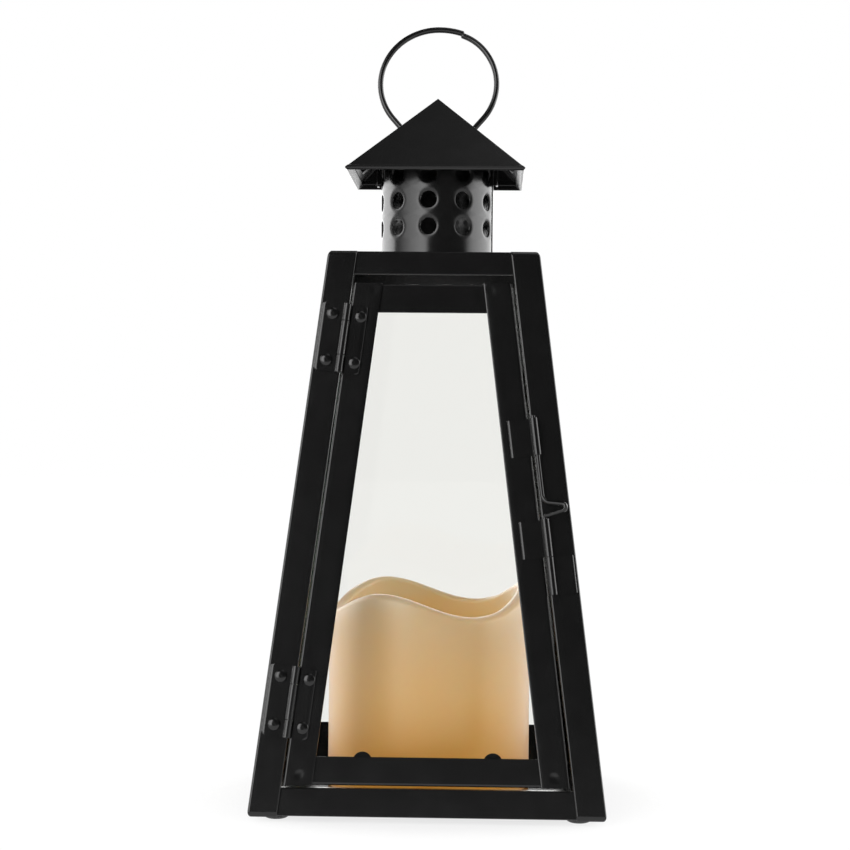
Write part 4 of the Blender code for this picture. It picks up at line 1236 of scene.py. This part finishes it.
def whiteFloorPaper():
    # Seamless white paper: matt, and burnt out to clean white away from the object.
    material, tree, shader, place = startMaterial("seamless_white_paper", {
        "Base Color": tone("FAFAFA"), "Roughness": 0.9, "Specular IOR Level": 0.1})
    distance = vectorMaths(tree, "LENGTH", place)["Value"]
    far = addNode(tree, "ShaderNodeMapRange", {"interpolation_type": "SMOOTHSTEP"}, {
        "Value": distance, "From Min": studio["floorClear"][0],
        "From Max": studio["floorClear"][1], "To Min": studio["floorGlow"]})
    light = addNode(tree, "ShaderNodeEmission", links={"Color": (1, 1, 1, 1), "Strength": 1.02})
    mix = addNode(tree, "ShaderNodeMixShader", links={
        0: far.outputs["Result"], 1: shader.outputs["BSDF"], 2: light.outputs["Emission"]})
    tree.links.new(mix.outputs["Shader"], tree.nodes["Material Output"].inputs["Surface"])
    return material


def buildStudio():
    bm = bmesh.new()
    addLoops(bm, [[(6 * math.cos(t * math.pi / 32), 6 * math.sin(t * math.pi / 32), z)
                   for t in range(64)] for z in (-0.004, -0.00002)])
    floor = makePiece("paper_floor", bm, whiteFloorPaper(), weighted=False)
    lamp = studio["lamp"]
    data = bpy.data.lights.new("overhead_softbox", "AREA")
    data.shape = "SQUARE"
    data.size, data.energy = lamp["size"], lamp["watts"]
    softbox = linkObject("overhead_softbox", data)
    softbox.location = lamp["at"]
    aim = Vector((0.0, 0.0, 0.15)) - softbox.location
    softbox.rotation_euler = aim.to_track_quat("-Z", "Y").to_euler()
    softbox.visible_camera = False
    buildWorld()
    bpy.context.scene.view_settings.view_transform = "Standard"


def buildWorld():
    # long light banks at both sides and dark felt in front; the view itself sees plain white
    world = bpy.data.worlds.new("studio")
    bpy.context.scene.world = world
    world.use_nodes = True
    tree = world.node_tree
    ground = tree.nodes["Background"]

    maths = mathsFor(tree)

    def blend(factor, low, high):
        return addNode(tree, "ShaderNodeMix", {"data_type": "FLOAT"}, {
            "Factor": factor, "A": low, "B": high}).outputs["Result"]

    way = addNode(tree, "ShaderNodeTexCoord").outputs["Generated"]
    parts = addNode(tree, "ShaderNodeSeparateXYZ", links={"Vector": way}).outputs
    turn = maths("ARCTAN2", parts["X"], maths("MULTIPLY", parts["Y"], -1.0))
    share = maths("MULTIPLY_ADD", turn, 0.5 / math.pi, 0.5)
    peak = max(level for _, level in studio["around"])
    stops = [((angle + 180) / 360, (level / peak, level / peak, level / peak, 1.0))
             for angle, level in studio["around"]]
    bank = maths("MULTIPLY", addRamp(tree, share, stops), peak)
    above = addRange(tree, parts["Z"], 0.1, 0.3, *studio["front"])
    band = maths("MULTIPLY", addRange(tree, parts["Z"], studio["highest"],
                                      studio["highest"] + 0.06, 1.0, 0.0),
                 addRange(tree, parts["Z"], studio["lowest"] - 0.06, studio["lowest"], 0.0, 1.0))
    over = addRange(tree, parts["X"], -0.15, 0.45, studio["ceiling"], studio["over"])
    roofed = blend(addRange(tree, parts["Z"], 0.6, 0.8, 0.0, 1.0), above, over)
    level = maths("ADD", maths("MULTIPLY", bank, band), roofed)
    seen = addNode(tree, "ShaderNodeLightPath").outputs["Is Camera Ray"]
    tree.links.new(blend(seen, level, 1.0), ground.inputs["Color"])


camera = {  # millimetres and degrees; the height is above the underside of the metal frame
    "at": (21.7, -812.1, 131.86), "pan": -1.795, "tilt": 0.3605, "roll": 0.55,
    "lens": 91.694, "sensor": 36.0,
}


def buildCamera():
    pan, tilt, roll = (math.radians(camera[key]) for key in ("pan", "tilt", "roll"))
    ahead = Vector((math.sin(pan) * math.cos(tilt), math.cos(pan) * math.cos(tilt), math.sin(tilt)))
    right = Vector((math.cos(pan), -math.sin(pan), 0.0))
    up = right.cross(ahead)
    turned = (right * math.cos(roll) + up * math.sin(roll),
              up * math.cos(roll) - right * math.sin(roll), -ahead)
    data = bpy.data.cameras.new("camera")
    data.lens = camera["lens"]
    data.sensor_width = camera["sensor"]
    data.clip_start = 0.01
    lens = linkObject("camera", data)
    spot = Vector(camera["at"]) * 0.001 + Vector((0.0, 0.0, body["foot"]))
    lens.matrix_world = Matrix.Translation(spot) @ Matrix(turned).transposed().to_4x4()
    bpy.context.scene.camera = lens


buildStudio()
buildCamera()
print("studio made")
